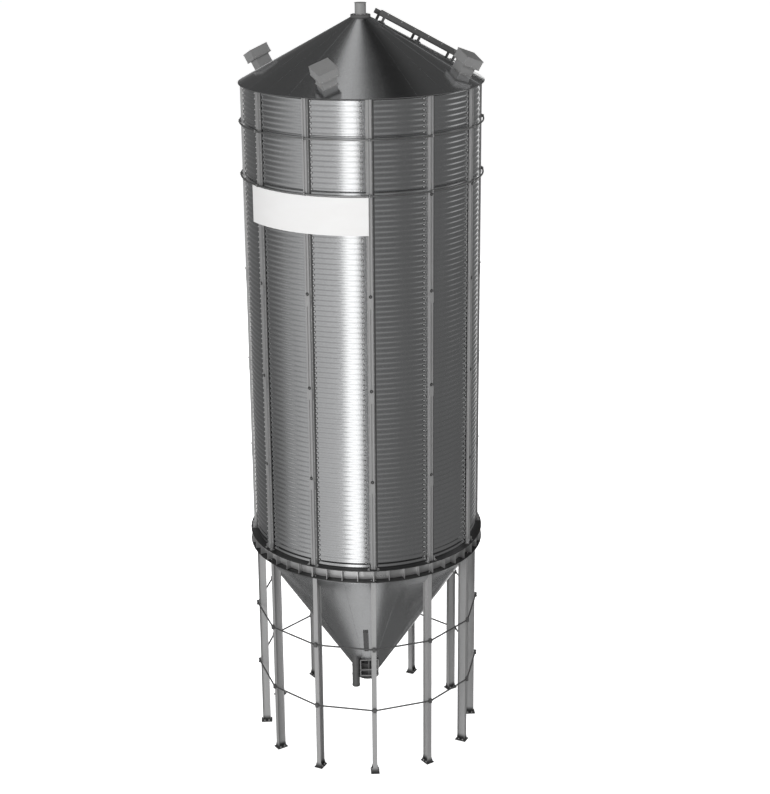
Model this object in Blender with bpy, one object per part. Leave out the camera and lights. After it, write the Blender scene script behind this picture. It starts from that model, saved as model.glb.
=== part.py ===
"""Grain silo: a round corrugated steel bin with a conical hopper, standing on twelve legs.

Everything is in metres with +Z up. The origin is on the ground at the centre of the bin.
Angles are in degrees around the bin, 0 at the front (-Y) and growing towards +X.
"""
import math

import bmesh
import bpy
from mathutils import Matrix, Vector

# Driving dimensions of the bin
CREST_RADIUS = 2.245        # outer side of the wall's corrugation
WALL_THICKNESS = 0.015      # depth of the corrugated sheet, crest to inner trough
RING_TOP = 4.505            # top of the ring girder, where the wall starts
EAVE_HEIGHT = 13.588        # lower edge of the roof
EAVE_RADIUS = 2.330
PEAK_RADIUS = 0.140         # hole in the roof under the inlet
ROOF_SLOPE = 0.5495         # rise over run of the roof
ROOF_THICKNESS = 0.008
WALL_COURSES = 4
ROOF_DROP = ROOF_THICKNESS * math.hypot(1.0, ROOF_SLOPE)

# Driving dimensions of the frame
BAY_COUNT = 12
BAY_ANGLE = 360.0 / BAY_COUNT
LEG_DEPTH = 0.165           # radial depth of the I-section
LEG_WIDTH = 0.090
LEG_FLANGE = 0.010
LEG_WEB = 0.008
LEG_FACE_RADIUS = 2.250     # outer face of the leg's outer flange
RING_HEIGHT = 0.250
RING_FLANGE = 0.014
RING_WEB = 0.012
RING_WEB_RADIUS = 2.232     # outer side of the girder's web
RING_OUTER_RADIUS = 2.360
RING_INNER_RADIUS = 2.110
PLATES_PER_BAY = 4          # upright plates on the girder's web in each bay

# Driving dimensions of the hopper
HOPPER_APEX = 0.810         # height where the cone would close
HOPPER_SLOPE = 1.512        # rise over run of the cone
HOPPER_TOP_RADIUS = 2.232
HOPPER_OUTLET_RADIUS = 0.200
HOPPER_THICKNESS = 0.008
HOPPER_LOW = HOPPER_APEX + HOPPER_OUTLET_RADIUS * HOPPER_SLOPE

GAP = 0.0003                # clearance between pieces that touch
SEGMENTS = 72               # sides of every large turned piece
SMALL_SEGMENTS = 36         # sides of the inlet, the outlet and the tube
BITE = 0.003                # how far joined shapes run into each other
FIT = 0.0005                # room left around a shape that is cut to a cone


def clear_scene():
    for item in list(bpy.data.objects):
        bpy.data.objects.remove(item, do_unlink=True)


def steel(name, colour, roughness, metallic):
    """A Principled material for one finish."""
    material = bpy.data.materials.new(name)
    material.use_nodes = True
    shader = material.node_tree.nodes["Principled BSDF"]
    shader.inputs["Base Color"].default_value = (*colour, 1.0)
    shader.inputs["Roughness"].default_value = roughness
    shader.inputs["Metallic"].default_value = metallic
    return material


def at_angle(radius, angle, height):
    """A point on a circle around the bin."""
    turn = math.radians(angle)
    return Vector((radius * math.sin(turn), -radius * math.cos(turn), height))


def mesh_from(shape, name):
    """Closes a bmesh into a mesh with its faces pointing out."""
    bmesh.ops.recalc_face_normals(shape, faces=shape.faces)
    mesh = bpy.data.meshes.new(name)
    shape.to_mesh(mesh)
    shape.free()
    return mesh


def add_object(name, mesh, material, turn=0.0, smooth=False):
    """Places a mesh in the scene, turned around the bin's axis by an angle in degrees."""
    item = bpy.data.objects.new(name, mesh)
    item.rotation_euler = (0.0, 0.0, math.radians(turn))
    bpy.context.scene.collection.objects.link(item)
    if not mesh.materials:
        mesh.materials.append(material)
    if smooth:
        mesh.shade_smooth()
        mesh.set_sharp_from_angle(angle=math.radians(30.0))
    return item


def add_box(shape, low, high):
    """Adds an upright box to a bmesh."""
    size = [high[i] - low[i] for i in range(3)]
    centre = [(high[i] + low[i]) / 2 for i in range(3)]
    matrix = Matrix.Translation(centre) @ Matrix.Diagonal((*size, 1.0))
    bmesh.ops.create_cube(shape, size=1.0, matrix=matrix)


def add_prism(shape, outline, low, high):
    """Adds a flat outline of (x, y) points, drawn up from one height to another."""
    bottom = [shape.verts.new((x, y, low)) for x, y in outline]
    face = shape.faces.new(bottom)
    drawn = bmesh.ops.extrude_face_region(shape, geom=[face])
    top = [item for item in drawn["geom"] if isinstance(item, bmesh.types.BMVert)]
    bmesh.ops.translate(shape, verts=top, vec=(0.0, 0.0, high - low))


def add_turned(shape, profile, first=0.0, last=360.0, steps=SEGMENTS):
    """Turns a closed outline of (radius, height) points around the bin's axis."""
    start = [shape.verts.new(at_angle(radius, first, height)) for radius, height in profile]
    edges = [shape.edges.new((start[i], start[(i + 1) % len(start)])) for i in range(len(start))]
    whole = math.isclose(last - first, 360.0)
    bmesh.ops.spin(shape, geom=start + edges, cent=(0, 0, 0), axis=(0, 0, 1),
                   angle=math.radians(last - first), steps=steps, use_merge=whole)
    if not whole:
        rims = [edge for edge in shape.edges if edge.is_boundary]
        bmesh.ops.holes_fill(shape, edges=rims, sides=len(profile))


def turned_mesh(name, profile, first=0.0, last=360.0, steps=SEGMENTS):
    shape = bmesh.new()
    add_turned(shape, profile, first, last, steps)
    return mesh_from(shape, name)


def combined(name, base, others, operation="UNION"):
    """Joins or cuts a mesh with other meshes and gives back one new mesh."""
    body = bpy.data.objects.new(name, base)
    bpy.context.scene.collection.objects.link(body)
    tools = []
    for other in others:
        tool = bpy.data.objects.new(name + "_tool", other)
        bpy.context.scene.collection.objects.link(tool)
        step = body.modifiers.new("Boolean", "BOOLEAN")
        step.solver = "EXACT"
        step.operation = operation
        step.object = tool
        tools.append(tool)
    graph = bpy.context.evaluated_depsgraph_get()
    result = bpy.data.meshes.new_from_object(body.evaluated_get(graph))
    result.name = name
    for item in [body] + tools:
        bpy.data.objects.remove(item, do_unlink=True)
    return result


def roof_height(radius):
    """Height of the roof's outer face at a radius."""
    return EAVE_HEIGHT + (EAVE_RADIUS - radius) * ROOF_SLOPE


def hopper_radius(height):
    """Radius of the hopper's outer face at a height."""
    return (height - HOPPER_APEX) / HOPPER_SLOPE


def round_solid(name, outline):
    """A closed solid of rings of (radius, height), from the lowest to the highest."""
    shape = bmesh.new()
    rings = []
    for radius, height in outline:
        points = [at_angle(radius, 360.0 * i / SEGMENTS, height) for i in range(SEGMENTS)]
        rings.append([shape.verts.new(point) for point in points])
    for lower, upper in zip(rings, rings[1:]):
        for i in range(SEGMENTS):
            k = (i + 1) % SEGMENTS
            shape.faces.new((lower[i], lower[k], upper[k], upper[i]))
    shape.faces.new(rings[0])
    shape.faces.new(rings[-1])
    return mesh_from(shape, name)


def cut_to_hopper(name, mesh):
    """Takes away whatever would stand inside the hopper."""
    rim = HOPPER_APEX + HOPPER_TOP_RADIUS * HOPPER_SLOPE
    outline = [(HOPPER_OUTLET_RADIUS + FIT, HOPPER_LOW - FIT), (HOPPER_TOP_RADIUS + FIT, rim),
               (HOPPER_TOP_RADIUS + FIT, RING_TOP)]
    return combined(name, mesh, [round_solid("hopper_solid", outline)], "DIFFERENCE")


def cut_to_roof(name, mesh):
    """Takes away whatever would stand inside the roof."""
    eave = roof_height(EAVE_RADIUS)
    peak = roof_height(PEAK_RADIUS)
    outline = [(EAVE_RADIUS, eave - 1.0), (EAVE_RADIUS, eave + FIT), (PEAK_RADIUS, peak + FIT)]
    return combined(name, mesh, [round_solid("roof_solid", outline)], "DIFFERENCE")


# Legs
FOOT_PLATE = 0.020
FOOT_WIDTH = 0.170
FOOT_DEPTH = 0.225
GUSSET_HEIGHT = 0.115       # height of the widened flange at the foot
GUSSET_MARGIN = 0.005       # distance of a gusset's edge from the foot plate's edge
HEAD_PLATE = 0.015
HEAD_WIDTH = 0.150
HEAD_LIP = 0.020            # how far the head plate stands out past the leg


def leg_section(outer, inner):
    """The outline of the I-section, seen from above."""
    half = LEG_WIDTH / 2
    web = LEG_WEB / 2
    right = [(half, outer), (half, outer + LEG_FLANGE), (web, outer + LEG_FLANGE),
             (web, inner - LEG_FLANGE), (half, inner - LEG_FLANGE), (half, inner)]
    return right + [(-x, y) for x, y in reversed(right)]


def gusset_mesh(near, far):
    """A plate that widens from the leg's flange down to the foot plate."""
    wide = FOOT_WIDTH / 2 - GUSSET_MARGIN
    narrow = LEG_WIDTH / 2 - BITE / 2
    low = FOOT_PLATE / 2
    high = FOOT_PLATE + GUSSET_HEIGHT
    corners = [(-wide, low), (wide, low), (narrow, high), (-narrow, high)]
    shape = bmesh.new()
    face = shape.faces.new([shape.verts.new((x, near, z)) for x, z in corners])
    drawn = bmesh.ops.extrude_face_region(shape, geom=[face])
    moved = [item for item in drawn["geom"] if isinstance(item, bmesh.types.BMVert)]
    bmesh.ops.translate(shape, verts=moved, vec=(0.0, far - near, 0.0))
    return mesh_from(shape, "gusset")


def leg_mesh():
    """An I-section leg with a foot plate, gussets and a head plate, cut to the hopper's slope."""
    outer = -LEG_FACE_RADIUS
    inner = outer + LEG_DEPTH
    middle = (outer + inner) / 2
    top = RING_TOP - RING_HEIGHT - GAP
    post = bmesh.new()
    add_prism(post, leg_section(outer, inner), FOOT_PLATE / 2, top - HEAD_PLATE / 2)
    foot = bmesh.new()
    add_box(foot, (-FOOT_WIDTH / 2, middle - FOOT_DEPTH / 2, 0.0),
            (FOOT_WIDTH / 2, middle + FOOT_DEPTH / 2, FOOT_PLATE))
    head = bmesh.new()
    add_box(head, (-HEAD_WIDTH / 2, outer - HEAD_LIP, top - HEAD_PLATE), (HEAD_WIDTH / 2, inner, top))
    inset = LEG_FLANGE / 10
    plates = [mesh_from(foot, "foot"), mesh_from(head, "head"),
              gusset_mesh(outer + inset, outer + LEG_FLANGE - inset),
              gusset_mesh(inner - inset, inner - LEG_FLANGE + inset)]
    body = combined("leg", mesh_from(post, "post"), plates)
    return cut_to_hopper("leg", body)


def make_legs(material):
    mesh = leg_mesh()
    for bay in range(BAY_COUNT):
        add_object(f"leg_{bay + 1:02d}", mesh, material, bay * BAY_ANGLE)


# Ring girder
PLATE_THICKNESS = 0.010
PLATE_THICKNESS_AT_LEG = 0.022
PLATE_MARGIN = 0.012        # distance of a plate's edge from the flange's edge


def turn_new(shape, before, angle):
    """Turns the vertices that were added since `before` around the bin's axis, in degrees."""
    new = [vert for vert in shape.verts if vert not in before]
    turn = Matrix.Rotation(math.radians(angle), 3, "Z")
    bmesh.ops.rotate(shape, verts=new, cent=(0, 0, 0), matrix=turn)


def make_ring_girder(material):
    """An I-section ring with upright plates on the outer side of its web."""
    low = RING_TOP - RING_HEIGHT
    low_flange = low + RING_FLANGE
    top_flange = RING_TOP - RING_FLANGE
    web_in = RING_WEB_RADIUS - RING_WEB
    outer = [(RING_OUTER_RADIUS, low), (RING_OUTER_RADIUS, low_flange), (RING_WEB_RADIUS, low_flange),
             (RING_WEB_RADIUS, top_flange), (RING_OUTER_RADIUS, top_flange), (RING_OUTER_RADIUS, RING_TOP)]
    inner = [(RING_INNER_RADIUS, RING_TOP), (RING_INNER_RADIUS, top_flange), (web_in, top_flange),
             (web_in, low_flange), (RING_INNER_RADIUS, low_flange), (RING_INNER_RADIUS, low)]
    plates = bmesh.new()
    count = BAY_COUNT * PLATES_PER_BAY
    for i in range(count):
        half = (PLATE_THICKNESS if i % PLATES_PER_BAY else PLATE_THICKNESS_AT_LEG) / 2
        before = set(plates.verts)
        add_box(plates, (-half, -RING_OUTER_RADIUS + PLATE_MARGIN, low_flange - BITE),
                (half, -RING_WEB_RADIUS + BITE * 2, top_flange + BITE))
        turn_new(plates, before, 360.0 * i / count)
    ring = turned_mesh("ring", outer + inner)
    add_object("ring_girder", combined("ring_girder", ring, [mesh_from(plates, "plates")]), material)


# Bin wall
def make_wall(material):
    """Round courses of sheet, each a plain ring as deep as the corrugation."""
    inner = CREST_RADIUS - WALL_THICKNESS
    start = RING_TOP + GAP
    finish = roof_height(CREST_RADIUS) - ROOF_DROP - FIT
    height = (finish - start) / WALL_COURSES
    for course in range(WALL_COURSES):
        low = start + course * height
        high = start + (course + 1) * height - (GAP if course < WALL_COURSES - 1 else 0.0)
        profile = [(CREST_RADIUS, low), (CREST_RADIUS, high), (inner, high), (inner, low)]
        name = f"wall_course_{course + 1}"
        add_object(name, turned_mesh(name, profile), material, smooth=True)


# Wall stiffeners
STIFFENER_SHEET = 0.004
STIFFENER_HALF_WIDTH = 0.062
STIFFENER_HALF_CROWN = 0.042
STIFFENER_HALF_GROOVE = 0.012
STIFFENER_GROOVE_DEPTH = 0.014
STIFFENER_DEPTH = 0.050
STIFFENER_SLANT = 0.004     # how far each side of the hat leans in
STIFFENER_TOP_GAP = 0.0022


def make_stiffeners(material):
    """Hat sections with a grooved crown, standing on the ring girder against the wall's crests."""
    foot = -CREST_RADIUS - GAP
    outer = foot - STIFFENER_DEPTH
    sheet = STIFFENER_SHEET
    valley = outer + STIFFENER_GROOVE_DEPTH
    valley_half = STIFFENER_HALF_GROOVE - STIFFENER_SLANT
    side_half = STIFFENER_HALF_CROWN + STIFFENER_SLANT
    outside = [(valley_half, valley), (STIFFENER_HALF_GROOVE, outer), (STIFFENER_HALF_CROWN, outer),
               (side_half, foot - sheet), (STIFFENER_HALF_WIDTH, foot - sheet), (STIFFENER_HALF_WIDTH, foot)]
    inside = [(side_half - sheet, foot), (STIFFENER_HALF_CROWN - sheet, outer + sheet),
              (STIFFENER_HALF_GROOVE + sheet, outer + sheet), (valley_half + sheet / 2, valley + sheet)]
    right = outside + inside
    left = [(-x, y) for x, y in reversed(right)]
    outline = right + left
    low = RING_TOP + GAP
    top = roof_height(-outer) - ROOF_DROP - STIFFENER_TOP_GAP
    shape = bmesh.new()
    add_prism(shape, outline, low, top)
    mesh = mesh_from(shape, "stiffener")
    for bay in range(BAY_COUNT):
        add_object(f"stiffener_{bay + 1:02d}", mesh, material, bay * BAY_ANGLE)


# Rings of bar around the bin and between the legs
WIND_RING_HEIGHTS = (12.855, 11.840)
WIND_TUBE_RADIUS = 0.017
WIND_RING_RADIUS = 2.321
WIND_RING_STEPS = 48
WIND_CLIP_HEIGHT = 0.026
TIE_RING_HEIGHTS = (1.430, 2.770)
TIE_ROD_RADIUS = 0.016
TIE_RING_RADIUS = 2.278
TIE_CLIP_HEIGHT = 0.090
CLIP_WIDTH = 0.050
BAR_SIDES = 6


def bar_ring(name, radius, thickness, height, steps, clip_inner, clip_height):
    """A closed ring of bar, with a block at each bay that reaches in to the part behind it."""
    turns = [math.tau * i / BAR_SIDES for i in range(BAR_SIDES)]
    circle = [(radius + thickness * math.cos(turn), height + thickness * math.sin(turn)) for turn in turns]
    clips = bmesh.new()
    for bay in range(BAY_COUNT):
        before = set(clips.verts)
        add_box(clips, (-CLIP_WIDTH / 2, -radius, height - clip_height / 2),
                (CLIP_WIDTH / 2, -clip_inner, height + clip_height / 2))
        turn_new(clips, before, bay * BAY_ANGLE)
    return combined(name, turned_mesh(name, circle, steps=steps), [mesh_from(clips, "clips")])


def make_bar_rings(material):
    stiffener_face = CREST_RADIUS + STIFFENER_DEPTH + GAP * 2
    leg_face = LEG_FACE_RADIUS + GAP
    for number, height in enumerate(WIND_RING_HEIGHTS, 1):
        name = f"wind_ring_{number}"
        mesh = bar_ring(name, WIND_RING_RADIUS, WIND_TUBE_RADIUS, height, WIND_RING_STEPS,
                        stiffener_face, WIND_CLIP_HEIGHT)
        add_object(name, mesh, material)
    for number, height in enumerate(TIE_RING_HEIGHTS, 1):
        name = f"tie_ring_{number}"
        mesh = bar_ring(name, TIE_RING_RADIUS, TIE_ROD_RADIUS, height, BAY_COUNT, leg_face, TIE_CLIP_HEIGHT)
        add_object(name, mesh, material)


# Roof
INLET_RADIUS = 0.113
INLET_BORE = 0.103
INLET_TOP = 15.030
INLET_SKIRT = 0.030         # how far the inlet reaches down through the roof's hole
INLET_FIT = 0.002
COLLAR_RADIUS = 0.190
COLLAR_HEIGHT = 0.075


def make_roof(material):
    """A conical shell that stops at the inlet and overhangs the wall."""
    eave = roof_height(EAVE_RADIUS)
    peak = roof_height(PEAK_RADIUS)
    profile = [(EAVE_RADIUS, eave), (PEAK_RADIUS, peak), (PEAK_RADIUS, peak - ROOF_DROP),
               (EAVE_RADIUS, eave - ROOF_DROP)]
    add_object("roof_cone", turned_mesh("roof_cone", profile), material, smooth=True)


def make_inlet(material):
    """A short open pipe on a round collar that sits on the roof's peak."""
    base = roof_height(COLLAR_RADIUS) + FIT
    lip = base + COLLAR_HEIGHT
    hole = PEAK_RADIUS - INLET_FIT
    seat = roof_height(hole) + FIT
    outside = [(COLLAR_RADIUS, base), (COLLAR_RADIUS, lip), (INLET_RADIUS, lip), (INLET_RADIUS, INLET_TOP)]
    skirt = seat - INLET_SKIRT
    inside = [(INLET_BORE, INLET_TOP), (INLET_BORE, skirt), (hole, skirt), (hole, seat)]
    mesh = turned_mesh("roof_inlet", outside + inside, steps=SMALL_SEGMENTS)
    add_object("roof_inlet", mesh, material, smooth=True)


VENT_ANGLES = (-110.0, -21.5, 70.0, 160.0)
VENT_RADIUS = 1.950         # distance of each vent from the bin's axis
VENT_NECK = 0.290
VENT_NECK_HEIGHT = 0.175
VENT_CAP = 0.400
VENT_CAP_HEIGHT = 0.190
VENT_TURN = 45.0            # the square vents stand corner to the eave
VENT_ROOT = 0.030           # how far the neck starts below the sheet, before it is cut to the roof


def slope_frame(angle, radius):
    """A frame on the roof: X across the slope, Y up the slope and Z square to the sheet."""
    turn = Matrix.Rotation(math.radians(angle), 4, "Z")
    tilt = Matrix.Rotation(math.atan(ROOF_SLOPE), 4, "X")
    place = Matrix.Translation((0.0, -radius, roof_height(radius)))
    return turn @ place @ tilt


def vent_mesh():
    """A square neck under a wider box cap."""
    neck = bmesh.new()
    half = VENT_NECK / 2
    add_box(neck, (-half, -half, -VENT_ROOT), (half, half, VENT_NECK_HEIGHT + BITE))
    cap = bmesh.new()
    half = VENT_CAP / 2
    add_box(cap, (-half, -half, VENT_NECK_HEIGHT), (half, half, VENT_NECK_HEIGHT + VENT_CAP_HEIGHT))
    return combined("roof_vent", mesh_from(neck, "neck"), [mesh_from(cap, "cap")])


def make_vents(material):
    shared = vent_mesh()
    spin = Matrix.Rotation(math.radians(VENT_TURN), 4, "Z")
    for number, angle in enumerate(VENT_ANGLES, 1):
        mesh = shared.copy()
        mesh.transform(slope_frame(angle, VENT_RADIUS) @ spin)
        name = f"roof_vent_{number}"
        add_object(name, cut_to_roof(name, mesh), material)


LADDER_ANGLE = 105.0
LADDER_LOW_RADIUS = 1.880
LADDER_TOP_RADIUS = 0.270
LADDER_WIDTH = 0.380
STRINGER_DEPTH = 0.095
STRINGER_THICKNESS = 0.030
LADDER_STANDOFF = 0.105
TREAD_SPACING = 0.300
TREAD_DEPTH = 0.060
TREAD_THICKNESS = 0.030
TREAD_RISE = 0.050          # height of the treads above the stringers' lower edge
LADDER_FEET = (0.06, 0.5, 0.94)
LADDER_FOOT = 0.024
LADDER_ROOT = 0.020         # how far the feet start below the sheet, before they are cut to the roof


def make_ladder(material):
    """Two stringers with treads between them, held off the roof on short feet."""
    length = (LADDER_LOW_RADIUS - LADDER_TOP_RADIUS) * math.hypot(1.0, ROOF_SLOPE)
    half = LADDER_WIDTH / 2
    low = LADDER_STANDOFF
    first = bmesh.new()
    add_box(first, (-half, 0.0, low), (-half + STRINGER_THICKNESS, length, low + STRINGER_DEPTH))
    second = bmesh.new()
    add_box(second, (half - STRINGER_THICKNESS, 0.0, low), (half, length, low + STRINGER_DEPTH))
    treads = bmesh.new()
    count = int(length / TREAD_SPACING)
    for i in range(count):
        near = (i + 0.5) * length / count
        reach = half - STRINGER_THICKNESS / 2
        add_box(treads, (-reach, near - TREAD_DEPTH / 2, low + TREAD_RISE),
                (reach, near + TREAD_DEPTH / 2, low + TREAD_RISE + TREAD_THICKNESS))
    feet = bmesh.new()
    for share in LADDER_FEET:
        for side in (-1, 1):
            edge = side * (half - STRINGER_THICKNESS / 2)
            add_box(feet, (edge - LADDER_FOOT / 2, share * length - LADDER_FOOT, -LADDER_ROOT),
                    (edge + LADDER_FOOT / 2, share * length + LADDER_FOOT, low + BITE))
    extras = [mesh_from(second, "stringer"), mesh_from(treads, "treads"), mesh_from(feet, "feet")]
    mesh = combined("roof_ladder", mesh_from(first, "stringer"), extras)
    mesh.transform(slope_frame(LADDER_ANGLE, LADDER_LOW_RADIUS))
    add_object("roof_ladder", cut_to_roof("roof_ladder", mesh), material)


# Hopper
OUTLET_HEIGHT = 0.100
OUTLET_WALL = 0.010
OUTLET_FLANGE = 0.030
OUTLET_FLANGE_THICKNESS = 0.012


def make_hopper(material):
    """A conical shell with a short upright rim under the ring girder."""
    rim_low = HOPPER_APEX + HOPPER_TOP_RADIUS * HOPPER_SLOPE
    rim_top = RING_TOP - RING_HEIGHT - GAP
    inward = HOPPER_THICKNESS * math.hypot(1.0, HOPPER_SLOPE) / HOPPER_SLOPE
    outside = [(HOPPER_OUTLET_RADIUS, HOPPER_LOW), (HOPPER_TOP_RADIUS, rim_low), (HOPPER_TOP_RADIUS, rim_top)]
    inside = [(radius - inward, height) for radius, height in reversed(outside)]
    add_object("hopper_cone", turned_mesh("hopper_cone", outside + inside), material, smooth=True)


def make_outlet(material):
    """A round spigot with a flange at its lower end, below the hopper."""
    top = HOPPER_LOW - GAP
    low = top - OUTLET_HEIGHT
    bore = HOPPER_OUTLET_RADIUS - OUTLET_WALL
    rim = HOPPER_OUTLET_RADIUS + OUTLET_FLANGE
    step = low + OUTLET_FLANGE_THICKNESS
    profile = [(rim, low), (rim, step), (HOPPER_OUTLET_RADIUS, step), (HOPPER_OUTLET_RADIUS, top),
               (bore, top), (bore, low)]
    mesh = turned_mesh("outlet_spigot", profile, steps=SMALL_SEGMENTS)
    add_object("outlet_spigot", mesh, material, smooth=True)


# Fittings low on the hopper
BOX_HALF_WIDTH = 0.192
BOX_FRONT = -0.550
BOX_LOW = 1.262
BOX_TOP = 1.640
BOX_SHEET = 0.014
BOX_RECESS = 0.110          # depth of the open recess in the box's front
BOX_SHELF = 1.395           # height of the shelf across the recess
BOX_POST = -0.010           # place of the upright post in the recess
TUBE_CENTRE = (-0.2745, -0.470)
TUBE_RADIUS = 0.0775
TUBE_WALL = 0.006
TUBE_LOW = 1.010
TUBE_TOP = 1.900
WINDOW_ANGLE = -5.0
WINDOW_LOW = 1.990
WINDOW_HIGH = 2.620
WINDOW_WIDTH = 0.085
WINDOW_DEPTH = 0.030


def make_outlet_box(material):
    """A box on the hopper's front with a recess, a shelf and a post, cut to the hopper's slope."""
    half = BOX_HALF_WIDTH
    sheet = BOX_SHEET
    back = BOX_FRONT + BOX_RECESS
    block = bmesh.new()
    add_box(block, (-half, BOX_FRONT, BOX_LOW), (half, -HOPPER_OUTLET_RADIUS, BOX_TOP))
    recess = bmesh.new()
    add_box(recess, (-half + sheet, BOX_FRONT - sheet, BOX_LOW + sheet),
            (half - sheet, back, BOX_TOP - sheet))
    body = combined("outlet_box", mesh_from(block, "block"), [mesh_from(recess, "recess")], "DIFFERENCE")
    shelf = bmesh.new()
    add_box(shelf, (-half + sheet / 2, BOX_FRONT + sheet, BOX_SHELF),
            (half - sheet / 2, back + BITE, BOX_SHELF + sheet))
    post = bmesh.new()
    add_box(post, (BOX_POST - sheet, BOX_FRONT + sheet * 2, BOX_LOW + sheet / 2),
            (BOX_POST + sheet, back + BITE, BOX_TOP - sheet / 2))
    body = combined("outlet_box", body, [mesh_from(shelf, "shelf"), mesh_from(post, "post")])
    add_object("outlet_box", cut_to_hopper("outlet_box", body), material)


def make_draw_off_tube(material):
    """An open tube that hangs down from the side of the hopper, beside the box."""
    inner = TUBE_RADIUS - TUBE_WALL
    profile = [(TUBE_RADIUS, TUBE_LOW), (TUBE_RADIUS, TUBE_TOP), (inner, TUBE_TOP), (inner, TUBE_LOW)]
    mesh = turned_mesh("draw_off_tube", profile, steps=SMALL_SEGMENTS)
    mesh.transform(Matrix.Translation((*TUBE_CENTRE, 0.0)))
    add_object("draw_off_tube", cut_to_hopper("draw_off_tube", mesh), material, smooth=True)


def make_sight_window(material):
    """A narrow framed plate that lies up the hopper's slope."""
    low_radius = hopper_radius(WINDOW_LOW)
    length = (WINDOW_HIGH - WINDOW_LOW) * math.hypot(1.0, HOPPER_SLOPE) / HOPPER_SLOPE
    shape = bmesh.new()
    half = WINDOW_WIDTH / 2
    add_box(shape, (-half, 0.0, GAP), (half, length, WINDOW_DEPTH))
    mesh = mesh_from(shape, "sight_window")
    turn = Matrix.Rotation(math.radians(WINDOW_ANGLE), 4, "Z")
    tilt = Matrix.Rotation(math.pi - math.atan(HOPPER_SLOPE), 4, "X")
    mesh.transform(turn @ Matrix.Translation((0.0, -low_radius, WINDOW_LOW)) @ tilt)
    add_object("sight_window", mesh, material)


# Sign
SIGN_FIRST_ANGLE = -66.0
SIGN_LAST_ANGLE = -0.5
SIGN_TOP = 11.810
SIGN_LOW = 11.105
SIGN_THICKNESS = 0.006
SIGN_FIT = 0.0012
SIGN_STEPS = 32


def make_sign(material):
    """A plain sheet curved around the front of the bin, on the stiffeners' crowns."""
    inner = CREST_RADIUS + STIFFENER_DEPTH + SIGN_FIT
    outer = inner + SIGN_THICKNESS
    profile = [(outer, SIGN_LOW), (outer, SIGN_TOP), (inner, SIGN_TOP), (inner, SIGN_LOW)]
    mesh = turned_mesh("sign_panel", profile, SIGN_FIRST_ANGLE, SIGN_LAST_ANGLE, SIGN_STEPS)
    add_object("sign_panel", mesh, material, smooth=True)


def main():
    clear_scene()
    galvanised = steel("galvanised_sheet", (0.55, 0.56, 0.57), 0.35, 1.0)
    frame_steel = steel("galvanised_frame", (0.60, 0.61, 0.62), 0.40, 1.0)
    white_sheet = steel("white_sheet", (0.90, 0.90, 0.90), 0.50, 0.0)
    make_legs(frame_steel)
    make_ring_girder(frame_steel)
    make_wall(galvanised)
    make_stiffeners(frame_steel)
    make_bar_rings(frame_steel)
    make_roof(galvanised)
    make_inlet(frame_steel)
    make_vents(galvanised)
    make_ladder(frame_steel)
    make_hopper(galvanised)
    make_outlet(frame_steel)
    make_outlet_box(frame_steel)
    make_draw_off_tube(frame_steel)
    make_sight_window(frame_steel)
    make_sign(white_sheet)


main()
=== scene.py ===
# %% [markdown]
# # A grain silo on legs
# This script dresses a finished model of a grain silo: a round bin of corrugated steel with
# a cone for a roof and a second cone, the hopper, below it. The solids come from a packed
# model that fixes every size. Here each surface gets its finish, and the pieces that are too
# fine for the solids are made: the corrugation, the bolts, the seams and the folded edges.
# Everything is in metres, +Z is up, the bin's axis is the Z axis and the front leg is at -Y.

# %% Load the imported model
import math

import bmesh
import bpy
from mathutils import Matrix, Vector


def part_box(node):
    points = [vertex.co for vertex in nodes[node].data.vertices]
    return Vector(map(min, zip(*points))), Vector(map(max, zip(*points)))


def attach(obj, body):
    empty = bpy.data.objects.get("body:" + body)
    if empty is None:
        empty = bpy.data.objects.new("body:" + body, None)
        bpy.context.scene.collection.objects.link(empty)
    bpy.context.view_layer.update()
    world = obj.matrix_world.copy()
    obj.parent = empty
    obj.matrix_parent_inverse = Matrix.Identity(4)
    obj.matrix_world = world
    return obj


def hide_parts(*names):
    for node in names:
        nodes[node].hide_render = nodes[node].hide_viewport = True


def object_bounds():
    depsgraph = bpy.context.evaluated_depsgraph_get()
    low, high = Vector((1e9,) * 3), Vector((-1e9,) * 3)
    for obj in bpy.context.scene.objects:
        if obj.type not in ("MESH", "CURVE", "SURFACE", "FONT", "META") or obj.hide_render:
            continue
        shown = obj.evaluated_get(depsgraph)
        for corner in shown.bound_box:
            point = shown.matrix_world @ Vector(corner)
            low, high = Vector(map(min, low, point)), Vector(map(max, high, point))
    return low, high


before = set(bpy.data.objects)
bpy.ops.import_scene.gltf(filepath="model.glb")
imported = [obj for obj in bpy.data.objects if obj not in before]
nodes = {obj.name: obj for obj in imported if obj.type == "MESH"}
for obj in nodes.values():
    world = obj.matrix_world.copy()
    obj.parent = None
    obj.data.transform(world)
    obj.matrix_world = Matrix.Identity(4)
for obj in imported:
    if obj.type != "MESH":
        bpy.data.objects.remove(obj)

cad_low, cad_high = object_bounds()
print("nodes:", len(nodes), "size:", [round(high - low, 3) for low, high in zip(cad_low, cad_high)])

# %% [markdown]
# ## The camera
# The silo is seen from above the eave, from a little to the left of the front leg. The roof
# is then seen nearly from the side, and the feet stand in a wide ellipse. A long lens from far
# away keeps the legs nearly upright. The lens is worked out from the focal length in pixels,
# for an image of 770 by 794, because the sensor's width belongs to the longer side.

# %% Place the camera
IMAGE_HEIGHT = 794.0
SENSOR = 36.0
CAMERA_DISTANCE = 31.334
CAMERA_HEIGHT = 18.199
CAMERA_AZIMUTH = math.radians(-3.154)
CAMERA_PITCH = math.radians(17.431)
CAMERA_ROLL = math.radians(0.666)
FOCAL_PIXELS = 1652.0
LENS_SHIFT = (0.0262, -0.068)
FARTHEST = 2000.0

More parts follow.
